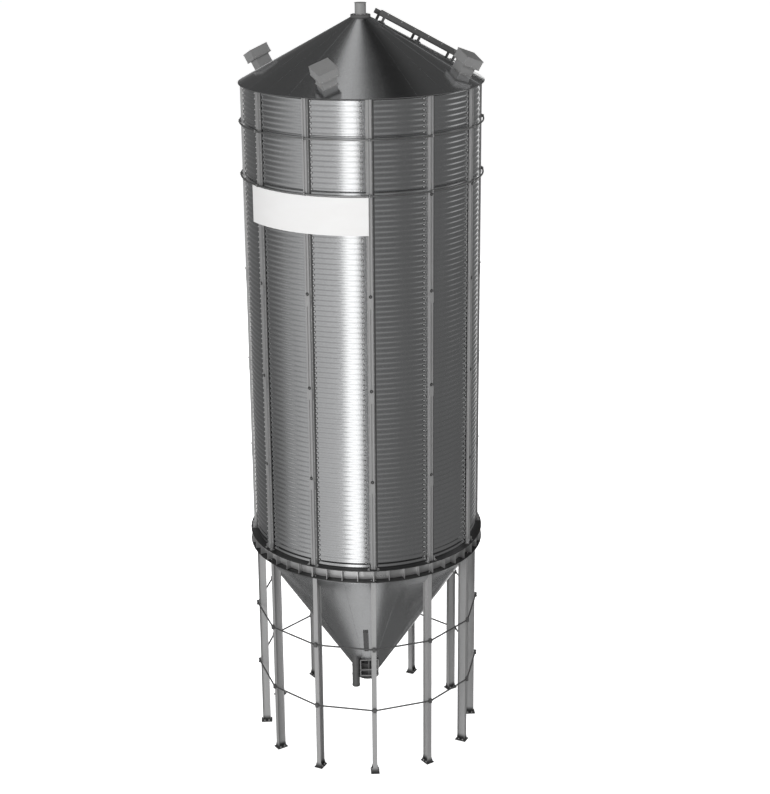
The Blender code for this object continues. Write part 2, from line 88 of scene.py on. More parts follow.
lens = bpy.data.cameras.new("camera")
lens.sensor_width = SENSOR
lens.lens = FOCAL_PIXELS / IMAGE_HEIGHT * SENSOR
lens.shift_x, lens.shift_y = LENS_SHIFT
lens.clip_end = FARTHEST
camera = bpy.data.objects.new("camera", lens)
place = Matrix.Translation((CAMERA_DISTANCE * math.sin(CAMERA_AZIMUTH),
                            -CAMERA_DISTANCE * math.cos(CAMERA_AZIMUTH), CAMERA_HEIGHT))
heading = Matrix.Rotation(CAMERA_AZIMUTH, 4, "Z")
tilt = Matrix.Rotation(math.pi / 2 - CAMERA_PITCH, 4, "X")
camera.matrix_world = place @ heading @ tilt @ Matrix.Rotation(-CAMERA_ROLL, 4, "Z")
bpy.context.scene.collection.objects.link(camera)
bpy.context.scene.camera = camera
print("lens:", round(lens.lens, 1), "mm")

# %% [markdown]
# ## Node trees as Python
# Materials and geometry trees are both made of nodes. A small class wraps one output of a
# node, and its operators add Math nodes, so that a formula is written as a formula. One
# method adds any other node: its settings come first, then the values or links of its
# inputs.

# %% Wrap node outputs
class Value:
    """One output of a node. Arithmetic on it adds Math nodes to its tree."""

    def __init__(self, net, socket):
        self.net = net
        self.socket = socket

    def math(self, operation, *others):
        return self.net.add("ShaderNodeMath", {"operation": operation}, [self, *others])

    def flipped(self, operation, other):
        return self.net.add("ShaderNodeMath", {"operation": operation}, [other, self])

    def __add__(self, other):
        return self.math("ADD", other)

    def __sub__(self, other):
        return self.math("SUBTRACT", other)

    def __mul__(self, other):
        return self.math("MULTIPLY", other)

    def __truediv__(self, other):
        return self.math("DIVIDE", other)

    def __radd__(self, other):
        return self.flipped("ADD", other)

    def __rsub__(self, other):
        return self.flipped("SUBTRACT", other)

    def __rmul__(self, other):
        return self.flipped("MULTIPLY", other)

    def __rtruediv__(self, other):
        return self.flipped("DIVIDE", other)

    def clamped(self):
        return self.net.add("ShaderNodeClamp", {}, [self])

    def output(self, name):
        """Another output of the same node."""
        return Value(self.net, self.socket.node.outputs[name])


class Net:
    """A node tree that grows by expressions."""

    def __init__(self, tree):
        self.tree = tree

    def add(self, kind, settings=None, inputs=(), output=0):
        node = self.tree.nodes.new(kind)
        for name, value in (settings or {}).items():
            if name == "stops":
                self.set_stops(node.color_ramp, value)
            else:
                setattr(node, name, value)
        pairs = inputs.items() if isinstance(inputs, dict) else enumerate(inputs)
        for key, value in pairs:
            self.feed(node.inputs[key], value)
        return Value(self, node.outputs[output]) if node.outputs else None

    def feed(self, socket, value):
        if isinstance(value, Value):
            self.tree.links.new(value.socket, socket)
        elif value is not None:
            socket.default_value = value

    @staticmethod
    def set_stops(ramp, stops):
        while len(ramp.elements) < len(stops):
            ramp.elements.new(0.5)
        for element, (position, level) in zip(ramp.elements, stops):
            element.position = position
            element.color = (level, level, level, 1.0)


print("node helpers ready")

# %% [markdown]
# ## The studio
# Galvanised sheet is a mirror with a slight blur, so it looks like what stands around it. A
# bare room would leave the bin one flat grey. Here the room is painted on the world: rings of
# light and dark, one above the other, that each follow a ramp around the silo. The wall's
# corrugation looks up and down, so it turns a difference between two rings into stripes.
# The band at 165 degrees lights the silo for a view from behind. The camera itself sees plain
# white, and so the background stays plain.

# %% Paint the room on the world
BRIGHTEST = 3.0             # radiance at the top of a ramp
FULL_TURN = 2 * math.pi

# Each ring is a list of (degrees, radiance). Degrees count as at_angle does, 0 at the front leg.
LOW_RING = [(-180, 0.22), (-128, 0.13), (-108, 0.15), (-90, 0.26), (-66, 0.53), (-45, 0.60),
            (-25, 0.67), (-20, 1.85), (-9, 1.85), (-5, 0.22), (18, 0.17), (45, 0.15), (90, 0.15),
            (125, 0.13), (156, 0.20), (161, 1.10), (169, 1.10), (174, 0.24), (180, 0.22)]
HIGH_RING = [(-180, 0.30), (-128, 0.28), (-108, 0.30), (-90, 0.42), (-66, 0.46), (-45, 0.42),
             (-25, 0.46), (-20, 1.50), (-9, 1.50), (-5, 0.12), (6, 0.30), (24, 0.28), (34, 0.16),
             (46, 0.16), (53, 0.32), (60, 0.34), (66, 0.15), (86, 0.15), (97, 0.70), (114, 0.74),
             (126, 0.14), (156, 0.26), (161, 1.00), (169, 1.00), (174, 0.30), (180, 0.30)]
UNDER_RING = [(-180, 0.15), (-128, 0.08), (-112, 0.08), (-90, 0.22), (-66, 0.50), (-45, 0.60),
              (-25, 0.67), (-20, 1.80), (-9, 1.80), (-5, 0.14), (18, 0.16), (60, 0.14),
              (125, 0.12), (180, 0.15)]


def around(net, angle, ring):
    """A level for each direction around the silo, from stops of (degrees, radiance)."""
    stops = [(degrees / 360.0 + 0.5, level / BRIGHTEST) for degrees, level in ring]
    place = angle / FULL_TURN + 0.5
    return net.add("ShaderNodeValToRGB", {"stops": stops}, [place]) * BRIGHTEST


def step_up(net, value, low, high):
    """Goes smoothly from 0 at the low value to 1 at the high one."""
    inputs = {"Value": value, "From Min": low, "From Max": high}
    return net.add("ShaderNodeMapRange", {"interpolation_type": "SMOOTHSTEP"}, inputs)


def strip(net, value, low, high, soft_low, soft_high):
    """1 between two values, with an edge of its own width at each end."""
    rise = step_up(net, value, low - soft_low, low + soft_low)
    fall = step_up(net, value, high - soft_high, high + soft_high)
    return rise * (1.0 - fall)


def blended(first, second, share):
    return first * (1.0 - share) + second * share


world = bpy.data.worlds.new("studio")
world.use_nodes = True
world.node_tree.nodes.clear()
bpy.context.scene.world = world
bpy.context.scene.view_settings.view_transform = "Standard"
sky = Net(world.node_tree)
direction = sky.add("ShaderNodeTexCoord", output="Generated")
east = sky.add("ShaderNodeSeparateXYZ", {}, [direction])
north = east.output("Y")
up = east.output("Z")
angle = east.math("ARCTAN2", north * -1.0)
print("the room has", len(LOW_RING) + len(HIGH_RING) + len(UNDER_RING), "stops")

# %% [markdown]
# The roof looks up and over the silo, and the hopper looks down behind it. Both see only a
# small patch of the room, so each gets strips of light of its own. The roof's strip fades
# faster on one side, and a shade lies beside it. A second strip crosses the first, for views
# from the sides. Behind the silo the overhead field reaches lower, in two steps, because the
# roof mirrors the sky there, and near its two edges almost level.

# %% Add the strips above and below
ROOF_FIELD = 0.085
ROOF_STRIP = 0.60
ROOF_SHADE = 0.025
HOPPER_FIELD = 0.13
HOPPER_STRIP = 0.64

overhead = strip(sky, east, -0.14, 0.03, 0.04, 0.06) * step_up(sky, up, 0.55, 0.75)
crossing = strip(sky, north, -0.12, 0.07, 0.04, 0.075)
shade = strip(sky, east, 0.14, 0.30, 0.03, 0.06)
above = ROOF_FIELD + overhead * (ROOF_STRIP - ROOF_FIELD) - shade * (ROOF_FIELD - ROOF_SHADE)
above = above + crossing * (ROOF_STRIP - ROOF_FIELD) * (1.0 - overhead)
nadir = (1.0 - step_up(sky, east, 0.08, 0.15)) * (1.0 - step_up(sky, north, 0.07, 0.27))
below = HOPPER_FIELD + nadir * (HOPPER_STRIP - HOPPER_FIELD)

low_ring, high_ring = around(sky, angle, LOW_RING), around(sky, angle, HIGH_RING)
side = blended(low_ring, high_ring, step_up(sky, up, 0.00, 0.16))
side = blended(around(sky, angle, UNDER_RING), side, step_up(sky, up, -0.66, -0.52))
behind = step_up(sky, north, -0.05, 0.10)
straight_down = 1.0 - step_up(sky, up, -0.97, -0.88)
hidden = (behind * (1.0 - step_up(sky, up, -0.62, -0.50))).math("MAXIMUM", straight_down)
light = blended(side, below, hidden)
overhang = step_up(sky, up, 0.50, 0.66)
for far, near_up, full_up in ((0.35, 0.24, 0.36), (0.78, 0.04, 0.12)):
    patch = step_up(sky, north, far, far + 0.14) * step_up(sky, up, near_up, full_up)
    overhang = overhang.math("MAXIMUM", patch)
light = blended(light, above, overhang)
seen = sky.add("ShaderNodeLightPath")
level = blended(light, 1.0, seen)
backdrop = sky.add("ShaderNodeBackground", {}, {"Color": level, "Strength": 1.0})
sky.add("ShaderNodeOutputWorld", {}, {"Surface": backdrop})
print("strips added")

# %% [markdown]
# Lamps light the painted and the matt surfaces, which mirror nothing. They are kept out of
# reflections, because the room already holds the lights that the sheet shows. The floor is
# a pale disc under the feet, with a faint shadow. It too is kept out of reflections.

# %% Add the lamps and the floor
LAMP_WIDTH = 14.0
LAMP_DISTANCE = 34.0
LAMP_HEIGHT = 15.0
LAMPS = {"lamp_left": (-34.0, 7000.0), "lamp_right": (58.0, 4500.0),
         "lamp_back_right": (145.0, 6000.0), "lamp_back_left": (-150.0, 6000.0)}
FLOOR_RADIUS = 300.0
FLOOR_SIDES = 96
FLOOR_GLOW = 0.82
FLOOR_TONE = 0.80


def add_lamp(name, azimuth, power):
    """A soft box at a direction in degrees around the silo, aimed at its middle."""
    data = bpy.data.lights.new(name, "AREA")
    data.size = LAMP_WIDTH
    data.energy = power
    lamp = bpy.data.objects.new(name, data)
    turn = math.radians(azimuth)
    lamp.location = (LAMP_DISTANCE * math.sin(turn), -LAMP_DISTANCE * math.cos(turn), LAMP_HEIGHT)
    aim = Vector((0.0, 0.0, cad_high.z / 2)) - lamp.location
    lamp.rotation_mode = "QUATERNION"
    lamp.rotation_quaternion = aim.to_track_quat("-Z", "Y")
    lamp.visible_camera = False
    lamp.visible_glossy = False
    bpy.context.scene.collection.objects.link(lamp)


for name, (azimuth, power) in LAMPS.items():
    add_lamp(name, azimuth, power)

floor_material = bpy.data.materials.new("pale_floor")
floor_material.use_nodes = True
floor_shader = floor_material.node_tree.nodes["Principled BSDF"]
for label, value in (("Base Color", (FLOOR_TONE, FLOOR_TONE, FLOOR_TONE, 1.0)), ("Roughness", 1.0),
                     ("Specular IOR Level", 0.0), ("Emission Color", (1.0, 1.0, 1.0, 1.0)),
                     ("Emission Strength", FLOOR_GLOW)):
    floor_shader.inputs[label].default_value = value
disc = bmesh.new()
bmesh.ops.create_circle(disc, cap_ends=True, segments=FLOOR_SIDES, radius=FLOOR_RADIUS)
floor_mesh = bpy.data.meshes.new("floor")
disc.to_mesh(floor_mesh)
disc.free()
floor_mesh.materials.append(floor_material)
floor = bpy.data.objects.new("floor", floor_mesh)
bpy.context.scene.collection.objects.link(floor)
floor.visible_glossy = False
floor.visible_diffuse = False
floor.visible_shadow = False
print("lamps:", len(LAMPS), "and a floor")

# %% [markdown]
# ## The finishes
# Hot-dip zinc freezes into flat crystals, the spangle, that each mirror a little lighter or
# darker. Under it lie large soft clouds of dull and bright, and rain leaves faint upright runs.
# One function makes all the zinc finishes: Voronoi cells are the crystals, one noise is the
# clouds and a second noise, drawn out along Z, is the runs.

# %% Zinc
def new_finish(name):
    material = bpy.data.materials.new(name)
    material.use_nodes = True
    return material, Net(material.node_tree), material.node_tree.nodes["Principled BSDF"]


def noise(net, place, scale, detail=3.0):
    return net.add("ShaderNodeTexNoise", {}, {"Vector": place, "Scale": scale, "Detail": detail})


def stretched(net, place, factors):
    return net.add("ShaderNodeVectorMath", {"operation": "MULTIPLY"}, [place, Vector(factors)])


def colour_mix(net, share, first, second):
    """A colour between two colours, which may be values or numbers."""
    node = net.tree.nodes.new("ShaderNodeMix")
    node.data_type = "RGBA"
    for identifier, value in (("Factor_Float", share), ("A_Color", first), ("B_Color", second)):
        net.feed(next(socket for socket in node.inputs if socket.identifier == identifier), value)
    return Value(net, next(socket for socket in node.outputs if socket.identifier == "Result_Color"))


def grey(level, warm=0.0):
    """A grey, a little cooler where the second number is below 0."""
    return (level * (1.0 + warm), level, level * (1.0 - warm), 1.0)


GRAIN_SHARE = 0.30
CLOUD_SCALE = 1.1
RUN_STRETCH = (9.0, 9.0, 0.35)
ZINC_RELIEF = 0.0004
# The tone outside a zinc's band: painted shade at the girder's flanges, darker feet on the legs.
FLANGE_SHADE_AND_FOOT_TONE = grey(0.085)


def zinc(name, dark, light, roughness, crystal=55.0, metallic=1.0, runs=0.25, warm=0.0, undarkened_band=None):
    """Galvanised steel between two greys. A crystal is 1/55 m across unless it is said.

    Where a band of (low, high, soft) heights is given, the zinc is darker below and above it:
    painted shade at the ring girder's flanges, and a darker foot on the legs.
    """
    material, net, shader = new_finish(name)
    place = net.add("ShaderNodeTexCoord", output="Object")
    cell = net.add("ShaderNodeTexVoronoi", {}, {"Vector": place, "Scale": crystal}, output="Color")
    grain = net.add("ShaderNodeSeparateColor", {}, [cell])
    cloud = noise(net, place, CLOUD_SCALE)
    run = noise(net, stretched(net, place, RUN_STRETCH), 1.0, 5.0)
    pattern = (grain * GRAIN_SHARE + cloud * (1.0 - GRAIN_SHARE - runs) + run * runs).clamped()
    tint = colour_mix(net, pattern, grey(dark, warm), grey(light, warm))
    # Darker outside the band, with a ragged edge: painted shade on the ring girder, a darker foot on
    # the legs.
    if undarkened_band:
        level = net.add("ShaderNodeSeparateXYZ", {}, [place]).output("Z")
        low, high, soft = undarkened_band
        ragged = level + (cloud - 0.5) * soft
        tint = colour_mix(net, strip(net, ragged, low, high, soft, soft), FLANGE_SHADE_AND_FOOT_TONE, tint)
    shader.inputs["Metallic"].default_value = metallic
    net.feed(shader.inputs["Base Color"], tint)
    net.feed(shader.inputs["Roughness"], roughness * (0.82 + grain * 0.16 + cloud * 0.20))
    relief = {"Strength": 0.35, "Distance": ZINC_RELIEF, "Height": grain + cloud * 4.0}
    net.feed(shader.inputs["Normal"], net.add("ShaderNodeBump", {}, relief))
    return material


print("zinc ready")

# %% [markdown]
# The sheets are bright and new. The frame was dipped after welding, which leaves it matt, so
# it shows less of the room and more of its own grey. The legs are darker at their feet, and
# the ring girder is darker at both flanges, as painted shade. The tie rods and their clamps
# have gone dark. The sign is white paint on sheet, with faint dust in soft patches.

# %% Name the finishes
FINISHES = {
    "wall_sheet": zinc("wall_zinc", 0.54, 0.68, 0.17, warm=-0.01),
    "roof_sheet": zinc("roof_zinc", 0.50, 0.66, 0.17, warm=-0.01),
    "hopper_sheet": zinc("hopper_zinc", 0.52, 0.70, 0.20, warm=-0.01),
    "frame_steel": zinc("frame_zinc", 0.31, 0.46, 0.52, crystal=90.0, metallic=0.45),
}


def painted(name, tone, dusty, roughness):
    """White paint, with dust that gathers in soft patches."""
    material, net, shader = new_finish(name)
    place = net.add("ShaderNodeTexCoord", output="Object")
    dust = noise(net, stretched(net, place, (2.0, 2.0, 5.0)), 1.0, 4.0)
    net.feed(shader.inputs["Base Color"], colour_mix(net, dust * 0.5, tone, dusty))
    net.feed(shader.inputs["Roughness"], roughness * (0.85 + dust * 0.3))
    return material


def plastic(name, tone, worn, roughness):
    """A smooth dark plastic or rubber with a fine skin. It also makes the strip of painted shade."""
    material, net, shader = new_finish(name)
    place = net.add("ShaderNodeTexCoord", output="Object")
    skin = noise(net, place, 160.0)
    net.feed(shader.inputs["Base Color"], colour_mix(net, skin, tone, worn))
    net.feed(shader.inputs["Roughness"], roughness * (0.8 + skin * 0.4))
    bumps = net.add("ShaderNodeBump", {}, {"Strength": 0.2, "Distance": 0.0002, "Height": skin})
    net.feed(shader.inputs["Normal"], bumps)
    return material


FINISHES["sign_white"] = painted("sign_paint", grey(0.80), grey(0.70, 0.02), 0.42)
FINISHES["window_plate"] = plastic("dark_pane", grey(0.05), grey(0.09), 0.20)
BOLT_ZINC = zinc("bolt_zinc", 0.54, 0.74, 0.38, crystal=400.0, metallic=0.4, runs=0.0)
RUBBER = plastic("washer_rubber", grey(0.02), grey(0.04), 0.7)
DARK_STEEL = zinc("dull_zinc", 0.09, 0.17, 0.55, crystal=90.0, metallic=0.3)
VENT_ZINC = zinc("vent_zinc", 0.30, 0.42, 0.45, crystal=70.0, metallic=0.35)
WIND_ZINC = zinc("wind_zinc", 0.34, 0.50, 0.35, crystal=90.0)
# The near-black finish of the strip of painted shade beside each stiffener.
SHADE_STRIP = plastic("painted_shade_strip", grey(0.04), grey(0.07), 0.5)
# The legs are darker below 0.09 m, at their feet.
LEG_ZINC = zinc("leg_zinc", 0.37, 0.52, 0.52, crystal=90.0, metallic=0.4, undarkened_band=(0.09, 9.0, 0.05))
ROD_ZINC = zinc("rod_zinc", 0.25, 0.36, 0.50, crystal=90.0, metallic=0.3)
TIE_ZINC = zinc("tie_zinc", 0.08, 0.12, 0.60, crystal=90.0, metallic=0.2)
# Its band leaves the girder dark at both flanges: painted shade of the flanges.
RING_ZINC = zinc("ring_zinc", 0.48, 0.66, 0.38, crystal=90.0, metallic=0.8,
                 undarkened_band=(4.275, 4.488, 0.006))
print("finishes:", len(FINISHES) + 10)

DRESSED = {"wall": FINISHES["wall_sheet"], "roof_cone": FINISHES["roof_sheet"],
           "roof_vent": VENT_ZINC, "roof_ladder": DARK_STEEL, "hopper": FINISHES["hopper_sheet"],
           "sign": FINISHES["sign_white"], "sight": FINISHES["window_plate"], "leg": LEG_ZINC,
           "ring_girder": RING_ZINC, "outlet_box": DARK_STEEL, "draw_off": DARK_STEEL}
for name, node in nodes.items():
    finish = next((material for start, material in DRESSED.items() if name.startswith(start)),
                  FINISHES["frame_steel"])
    node.data.materials.clear()
    node.data.materials.append(finish)
print("nodes dressed:", len(nodes))

# %% [markdown]
# ## Helpers for meshes
# A finished piece is one object at the origin, with its place in its mesh. It rides on the
# silo's one body, takes its finish from a slot, and may stand for a solid of the model.

# %% Make pieces and turned shapes
UP = Vector((0, 0, 1))
DOWN = Vector((0, 0, -1))
EDGE_ANGLE = 35.0


def at_angle(radius, degrees, height):
    """A point around the bin. Angle 0 is the front leg, and +X is at 90."""
    turn = math.radians(degrees)
    return Vector((radius * math.sin(turn), -radius * math.cos(turn), height))


def add_piece(name, mesh, slot="frame_steel", replaced=(), material=None):
    mesh.name = name
    if not mesh.materials:
        mesh.materials.append(material or FINISHES[slot])
    piece = bpy.data.objects.new(name, mesh)
    bpy.context.scene.collection.objects.link(piece)
    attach(piece, "root")
    if replaced:
        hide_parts(*replaced)
    mesh.calc_loop_triangles()
    print(name, len(mesh.loop_triangles), "triangles")
    return piece


def closed_mesh(shape, sharp=EDGE_ANGLE):
    """Turns a bmesh into a mesh with its faces out and its round sides smooth."""
    bmesh.ops.remove_doubles(shape, verts=shape.verts, dist=1e-6)
    bmesh.ops.recalc_face_normals(shape, faces=shape.faces)
    mesh = bpy.data.meshes.new("piece")
    shape.to_mesh(mesh)
    shape.free()
    mesh.shade_smooth()
    mesh.set_sharp_from_angle(angle=math.radians(sharp))
    return mesh


def add_turned(shape, profile, steps, first=0.0, last=360.0):
    """Turns a closed outline of (radius, height) points around the Z axis."""
    whole = math.isclose(last - first, 360.0)
    count = steps if whole else steps + 1
    rings = [[shape.verts.new(at_angle(radius, first + (last - first) * i / steps, height))
              for radius, height in profile] for i in range(count)]
    size = len(profile)
    for i in range(steps):
        here, there = rings[i], rings[(i + 1) % count]
        for k in range(size):
            shape.faces.new((here[k], there[k], there[(k + 1) % size], here[(k + 1) % size]))
    if not whole:
        shape.faces.new(rings[0])
        shape.faces.new(reversed(rings[-1]))


def turned(profile, steps, first=0.0, last=360.0, sharp=EDGE_ANGLE):
    shape = bmesh.new()
    add_turned(shape, profile, steps, first, last)
    return closed_mesh(shape, sharp)


def arc(centre, radius, first, last, steps):
    """Points (radius, height) of a round corner in a profile, from one angle to another."""
    turns = [math.radians(first + (last - first) * i / steps) for i in range(steps + 1)]
    return [(centre[0] + radius * math.cos(turn), centre[1] + radius * math.sin(turn))
            for turn in turns]


def add_block(shape, low, high, matrix=None):
    """Adds a box between two corners, moved by a matrix."""
    size = [high[i] - low[i] for i in range(3)]
    centre = [(high[i] + low[i]) / 2 for i in range(3)]
    local = Matrix.Translation(centre) @ Matrix.Diagonal((*size, 1.0))
    return bmesh.ops.create_cube(shape, size=1.0, matrix=(matrix or Matrix()) @ local)["verts"]


print("mesh helpers ready")

# %% [markdown]
# Geometry trees make what repeats. Each takes its sizes as named inputs, and the result is
# turned into a plain mesh straight away.

# %% Run geometry trees
SHEET_SHARP = 50.0


def new_tree(name, inputs):
    """A geometry tree with named inputs. Gives back its net and the node that holds them."""
    tree = bpy.data.node_groups.new(name, "GeometryNodeTree")
    tree.interface.new_socket("Geometry", in_out="INPUT", socket_type="NodeSocketGeometry")
    for label, kind in inputs.items():
        tree.interface.new_socket(label, in_out="INPUT", socket_type="NodeSocket" + kind)
    tree.interface.new_socket("Geometry", in_out="OUTPUT", socket_type="NodeSocketGeometry")
    net = Net(tree)
    return net, net.add("NodeGroupInput")


def end_tree(net, geometry, finish):
    """The last nodes of every tree. Copies become real meshes, because the export drops them."""
    geometry = net.add("GeometryNodeRealizeInstances", {}, {"Geometry": geometry})
    geometry = net.add("GeometryNodeSetMaterial", {}, {"Geometry": geometry, "Material": finish})
    net.add("NodeGroupOutput", {}, [geometry])


def with_modifier(mesh, kind):
    """A helper object around a mesh, and a new modifier on it."""
    item = bpy.data.objects.new("helper", mesh)
    bpy.context.scene.collection.objects.link(item)
    return item, item.modifiers.new("step", kind)


def applied(item):
    """The mesh that a helper object's modifier gives. The helper is removed."""
    graph = bpy.context.evaluated_depsgraph_get()
    mesh = bpy.data.meshes.new_from_object(item.evaluated_get(graph))
    bpy.data.objects.remove(item)
    return mesh


def grown(net, seed, sizes):
    """Runs a tree on a mesh with the given sizes and gives back a plain mesh."""
    item, step = with_modifier(seed, "NODES")
    step.node_group = net.tree
    for socket in net.tree.interface.items_tree:
        if socket.in_out == "INPUT" and socket.name in sizes:
            step[socket.identifier] = sizes[socket.name]
    item.update_tag()
    return applied(item)


def solidified(mesh, thickness):
    """Gives an open sheet a wall, inwards from its face."""
    item, step = with_modifier(mesh, "SOLIDIFY")
    step.thickness = thickness
    step.offset = -1.0
    result = applied(item)
    result.set_sharp_from_angle(angle=math.radians(SHEET_SHARP))
    return result


print("tree helpers ready")

# %% [markdown]
# ## The wall
# The bin's wall is corrugated sheet in four courses. The waves run level around the bin, 100 mm
# from crest to crest, and give a thin sheet its strength. The wall follows one rule, so a
# geometry tree makes it: a flat grid whose rows are set on a circle, in and out with a sine.
# Each course laps over the one below it, as shingles do, so that rain runs off outside.

# %% Grow the corrugated courses
PITCH = 0.100
WAVE_DEPTH = 0.0100
SHEET = 0.0015
LAP = 0.050
CREST_RADIUS = 2.245
COLUMNS = 144
ROWS_PER_WAVE = 8
COURSES = 4
COURSE_STEP = SHEET * 1.1    # each course sits this much outside the one below

wall_net, wall_in = new_tree("corrugated_sheet", {
    "Radius": "Float", "Depth": "Float", "Pitch": "Float", "Low": "Float", "High": "Float",
    "Columns": "Int", "Rows": "Int", "Finish": "Material"})
grid = wall_net.add("GeometryNodeMeshGrid", {}, {
    "Size X": 1.0, "Size Y": 1.0,
    "Vertices X": wall_in.output("Columns"), "Vertices Y": wall_in.output("Rows")})
spot = wall_net.add("ShaderNodeSeparateXYZ", {}, [wall_net.add("GeometryNodeInputPosition")])
turn = (spot + 0.5) * FULL_TURN
rise = wall_in.output("High") - wall_in.output("Low")
height = wall_in.output("Low") + (spot.output("Y") + 0.5) * rise
wave = (height * FULL_TURN / wall_in.output("Pitch")).math("SINE")
radius = wall_in.output("Radius") + (wave - 1.0) * 0.5 * wall_in.output("Depth")
across = [radius * turn.math("SINE"), radius * turn.math("COSINE") * -1.0, height]
rolled = wall_net.add("ShaderNodeCombineXYZ", {}, across)
sheet = wall_net.add("GeometryNodeSetPosition", {}, {"Geometry": grid, "Position": rolled})
sheet = wall_net.add("GeometryNodeMergeByDistance", {}, {"Geometry": sheet, "Distance": 0.0001})
sheet = wall_net.add("GeometryNodeSetShadeSmooth", {}, {"Geometry": sheet})
end_tree(wall_net, sheet, wall_in.output("Finish"))

for course in range(1, COURSES + 1):
    node = f"wall_course_{course}"
    low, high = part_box(node)
    top = high.z + (LAP if course < COURSES else 0.0)
    waves = (top - low.z) / PITCH
    mesh = grown(wall_net, bpy.data.meshes.new("start"), {
        "Radius": CREST_RADIUS - (COURSES - course) * COURSE_STEP, "Depth": WAVE_DEPTH,
        "Pitch": PITCH, "Low": low.z, "High": top, "Columns": COLUMNS + 1,
        "Rows": round(waves * ROWS_PER_WAVE) + 1, "Finish": FINISHES["wall_sheet"]})
    add_piece(f"corrugated_course_{course}", solidified(mesh, SHEET), "wall_sheet", [node])

# %% [markdown]
# ## The roof and the hopper
# Both are cones of smooth sheet. A cone of few flat sides would mirror the room in hard bands,
# so each is turned again with many more sides, on the same lines as its solid. The edge at
# each rim is sharp, because a smooth one would bend the mirror image far up the sheet.

# %% Turn the cones
CONE_STEPS = 288
CONE_SHARP = 20.0
ROOF_SLOPE = 0.5495
ROOF_SHEET = 0.002
EAVE_RADIUS = 2.330
EAVE_HEIGHT = 13.588
EAVE_LIP = 0.0085
PEAK_RADIUS = 0.140
ROOF_RINGS = (1.4, 0.7)
HOPPER_SLOPE = 1.512
HOPPER_APEX = 0.810
HOPPER_SHEET = 0.004
HOPPER_RINGS = (0.8, 1.5)


def roof_height(radius):
    return EAVE_HEIGHT + (EAVE_RADIUS - radius) * ROOF_SLOPE


def hopper_radius(height):
    return (height - HOPPER_APEX) / HOPPER_SLOPE


lip = EAVE_RADIUS - ROOF_SHEET
roof_profile = [(EAVE_RADIUS, EAVE_HEIGHT - EAVE_LIP), (EAVE_RADIUS, EAVE_HEIGHT - ROOF_SHEET),
                (lip, EAVE_HEIGHT + ROOF_SHEET * 0.5)]
roof_profile += [(radius, roof_height(radius)) for radius in (*ROOF_RINGS, PEAK_RADIUS)]
roof_profile += [(PEAK_RADIUS, roof_height(PEAK_RADIUS) - ROOF_SHEET),
                 (lip, EAVE_HEIGHT - ROOF_SHEET), (lip, EAVE_HEIGHT - EAVE_LIP)]
roof_mesh = turned(roof_profile, CONE_STEPS, sharp=CONE_SHARP)
add_piece("roof_sheets", roof_mesh, "roof_sheet", ["roof_cone"])

hopper_low, hopper_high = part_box("hopper_cone")
rim = hopper_high.x
rim_height = HOPPER_APEX + rim * HOPPER_SLOPE
inward = HOPPER_SHEET * math.hypot(1.0, HOPPER_SLOPE) / HOPPER_SLOPE
outside = [(hopper_radius(hopper_low.z), hopper_low.z)]
outside += [(radius, HOPPER_APEX + radius * HOPPER_SLOPE) for radius in HOPPER_RINGS]
outside += [(rim, rim_height), (rim, hopper_high.z)]
inside = [(radius - inward, height) for radius, height in reversed(outside)]
hopper_mesh = turned(outside + inside, CONE_STEPS, sharp=CONE_SHARP)
add_piece("hopper_sheets", hopper_mesh, "hopper_sheet", ["hopper_cone"])

# %% [markdown]
# ## Bolts
# A bolted bin holds thousands of bolts. A geometry tree sets one low hexagon or disc on every
# point of a cloud, turned to face the way that the point's own attribute says. The points are
# worked out in Python. A bolt is two runs of the tree: a washer, and a head on top of it.

# %% Make the bolt tree
WASHER = 0.003    # its thickness, and so the seat of the head

bolt_net, bolt_in = new_tree("bolts", {
    "Sides": "Int", "Radius": "Float", "Height": "Float", "Finish": "Material"})
head = bolt_net.add("GeometryNodeMeshCylinder", {}, {
    "Vertices": bolt_in.output("Sides"), "Radius": bolt_in.output("Radius"),
    "Depth": bolt_in.output("Height")})
lift = bolt_net.add("ShaderNodeCombineXYZ", {}, {"Z": bolt_in.output("Height") * 0.5})
head = bolt_net.add("GeometryNodeTransform", {}, {"Geometry": head, "Translation": lift})
vector_kind = {"data_type": "FLOAT_VECTOR"}
facing = bolt_net.add("GeometryNodeInputNamedAttribute", vector_kind, {"Name": "outward"})
facing = bolt_net.add("FunctionNodeAlignRotationToVector", {"axis": "Z"}, {"Vector": facing})
heads = bolt_net.add("GeometryNodeInstanceOnPoints", {}, {
    "Points": bolt_in, "Instance": head, "Rotation": facing})
end_tree(bolt_net, heads, bolt_in.output("Finish"))


def spots(places):
    """A cloud of points from pairs of (point, outward direction)."""
    mesh = bpy.data.meshes.new("spots")
    mesh.from_pydata([point for point, outward in places], [], [])
    outward = mesh.attributes.new("outward", "FLOAT_VECTOR", "POINT")
    for item, (point, direction) in zip(outward.data, places):
        item.vector = direction
    return mesh


def add_studs(name, places, sides, radius, height, finish, slot="frame_steel"):
    sizes = {"Sides": sides, "Radius": radius, "Height": height, "Finish": finish}
    return add_piece(name, grown(bolt_net, spots(places), sizes), slot)


def add_bolts(name, places, head=0.010, washer=0.018, height=0.010, dark=None, bright=None):
    """Hexagon heads on washers. The places are on the surface that the bolts hold."""
    lifted = [(point + Vector(outward) * WASHER, outward) for point, outward in places]
    add_studs(name + "_washers", places, 8, washer, WASHER, dark or RUBBER)
    add_studs(name + "_heads", lifted, 6, head, height, bright or BOLT_ZINC)


def facing_out(degrees):
    return at_angle(1.0, degrees, 0.0)


print("bolt tree ready")

# %% [markdown]
# Twelve legs stand 30 degrees apart, with a stiffener above each. Most bolts repeat at all of
# them in pairs, so two helpers give their places.

# %% Count the bays
BAYS = 12
BAY = 360.0 / BAYS


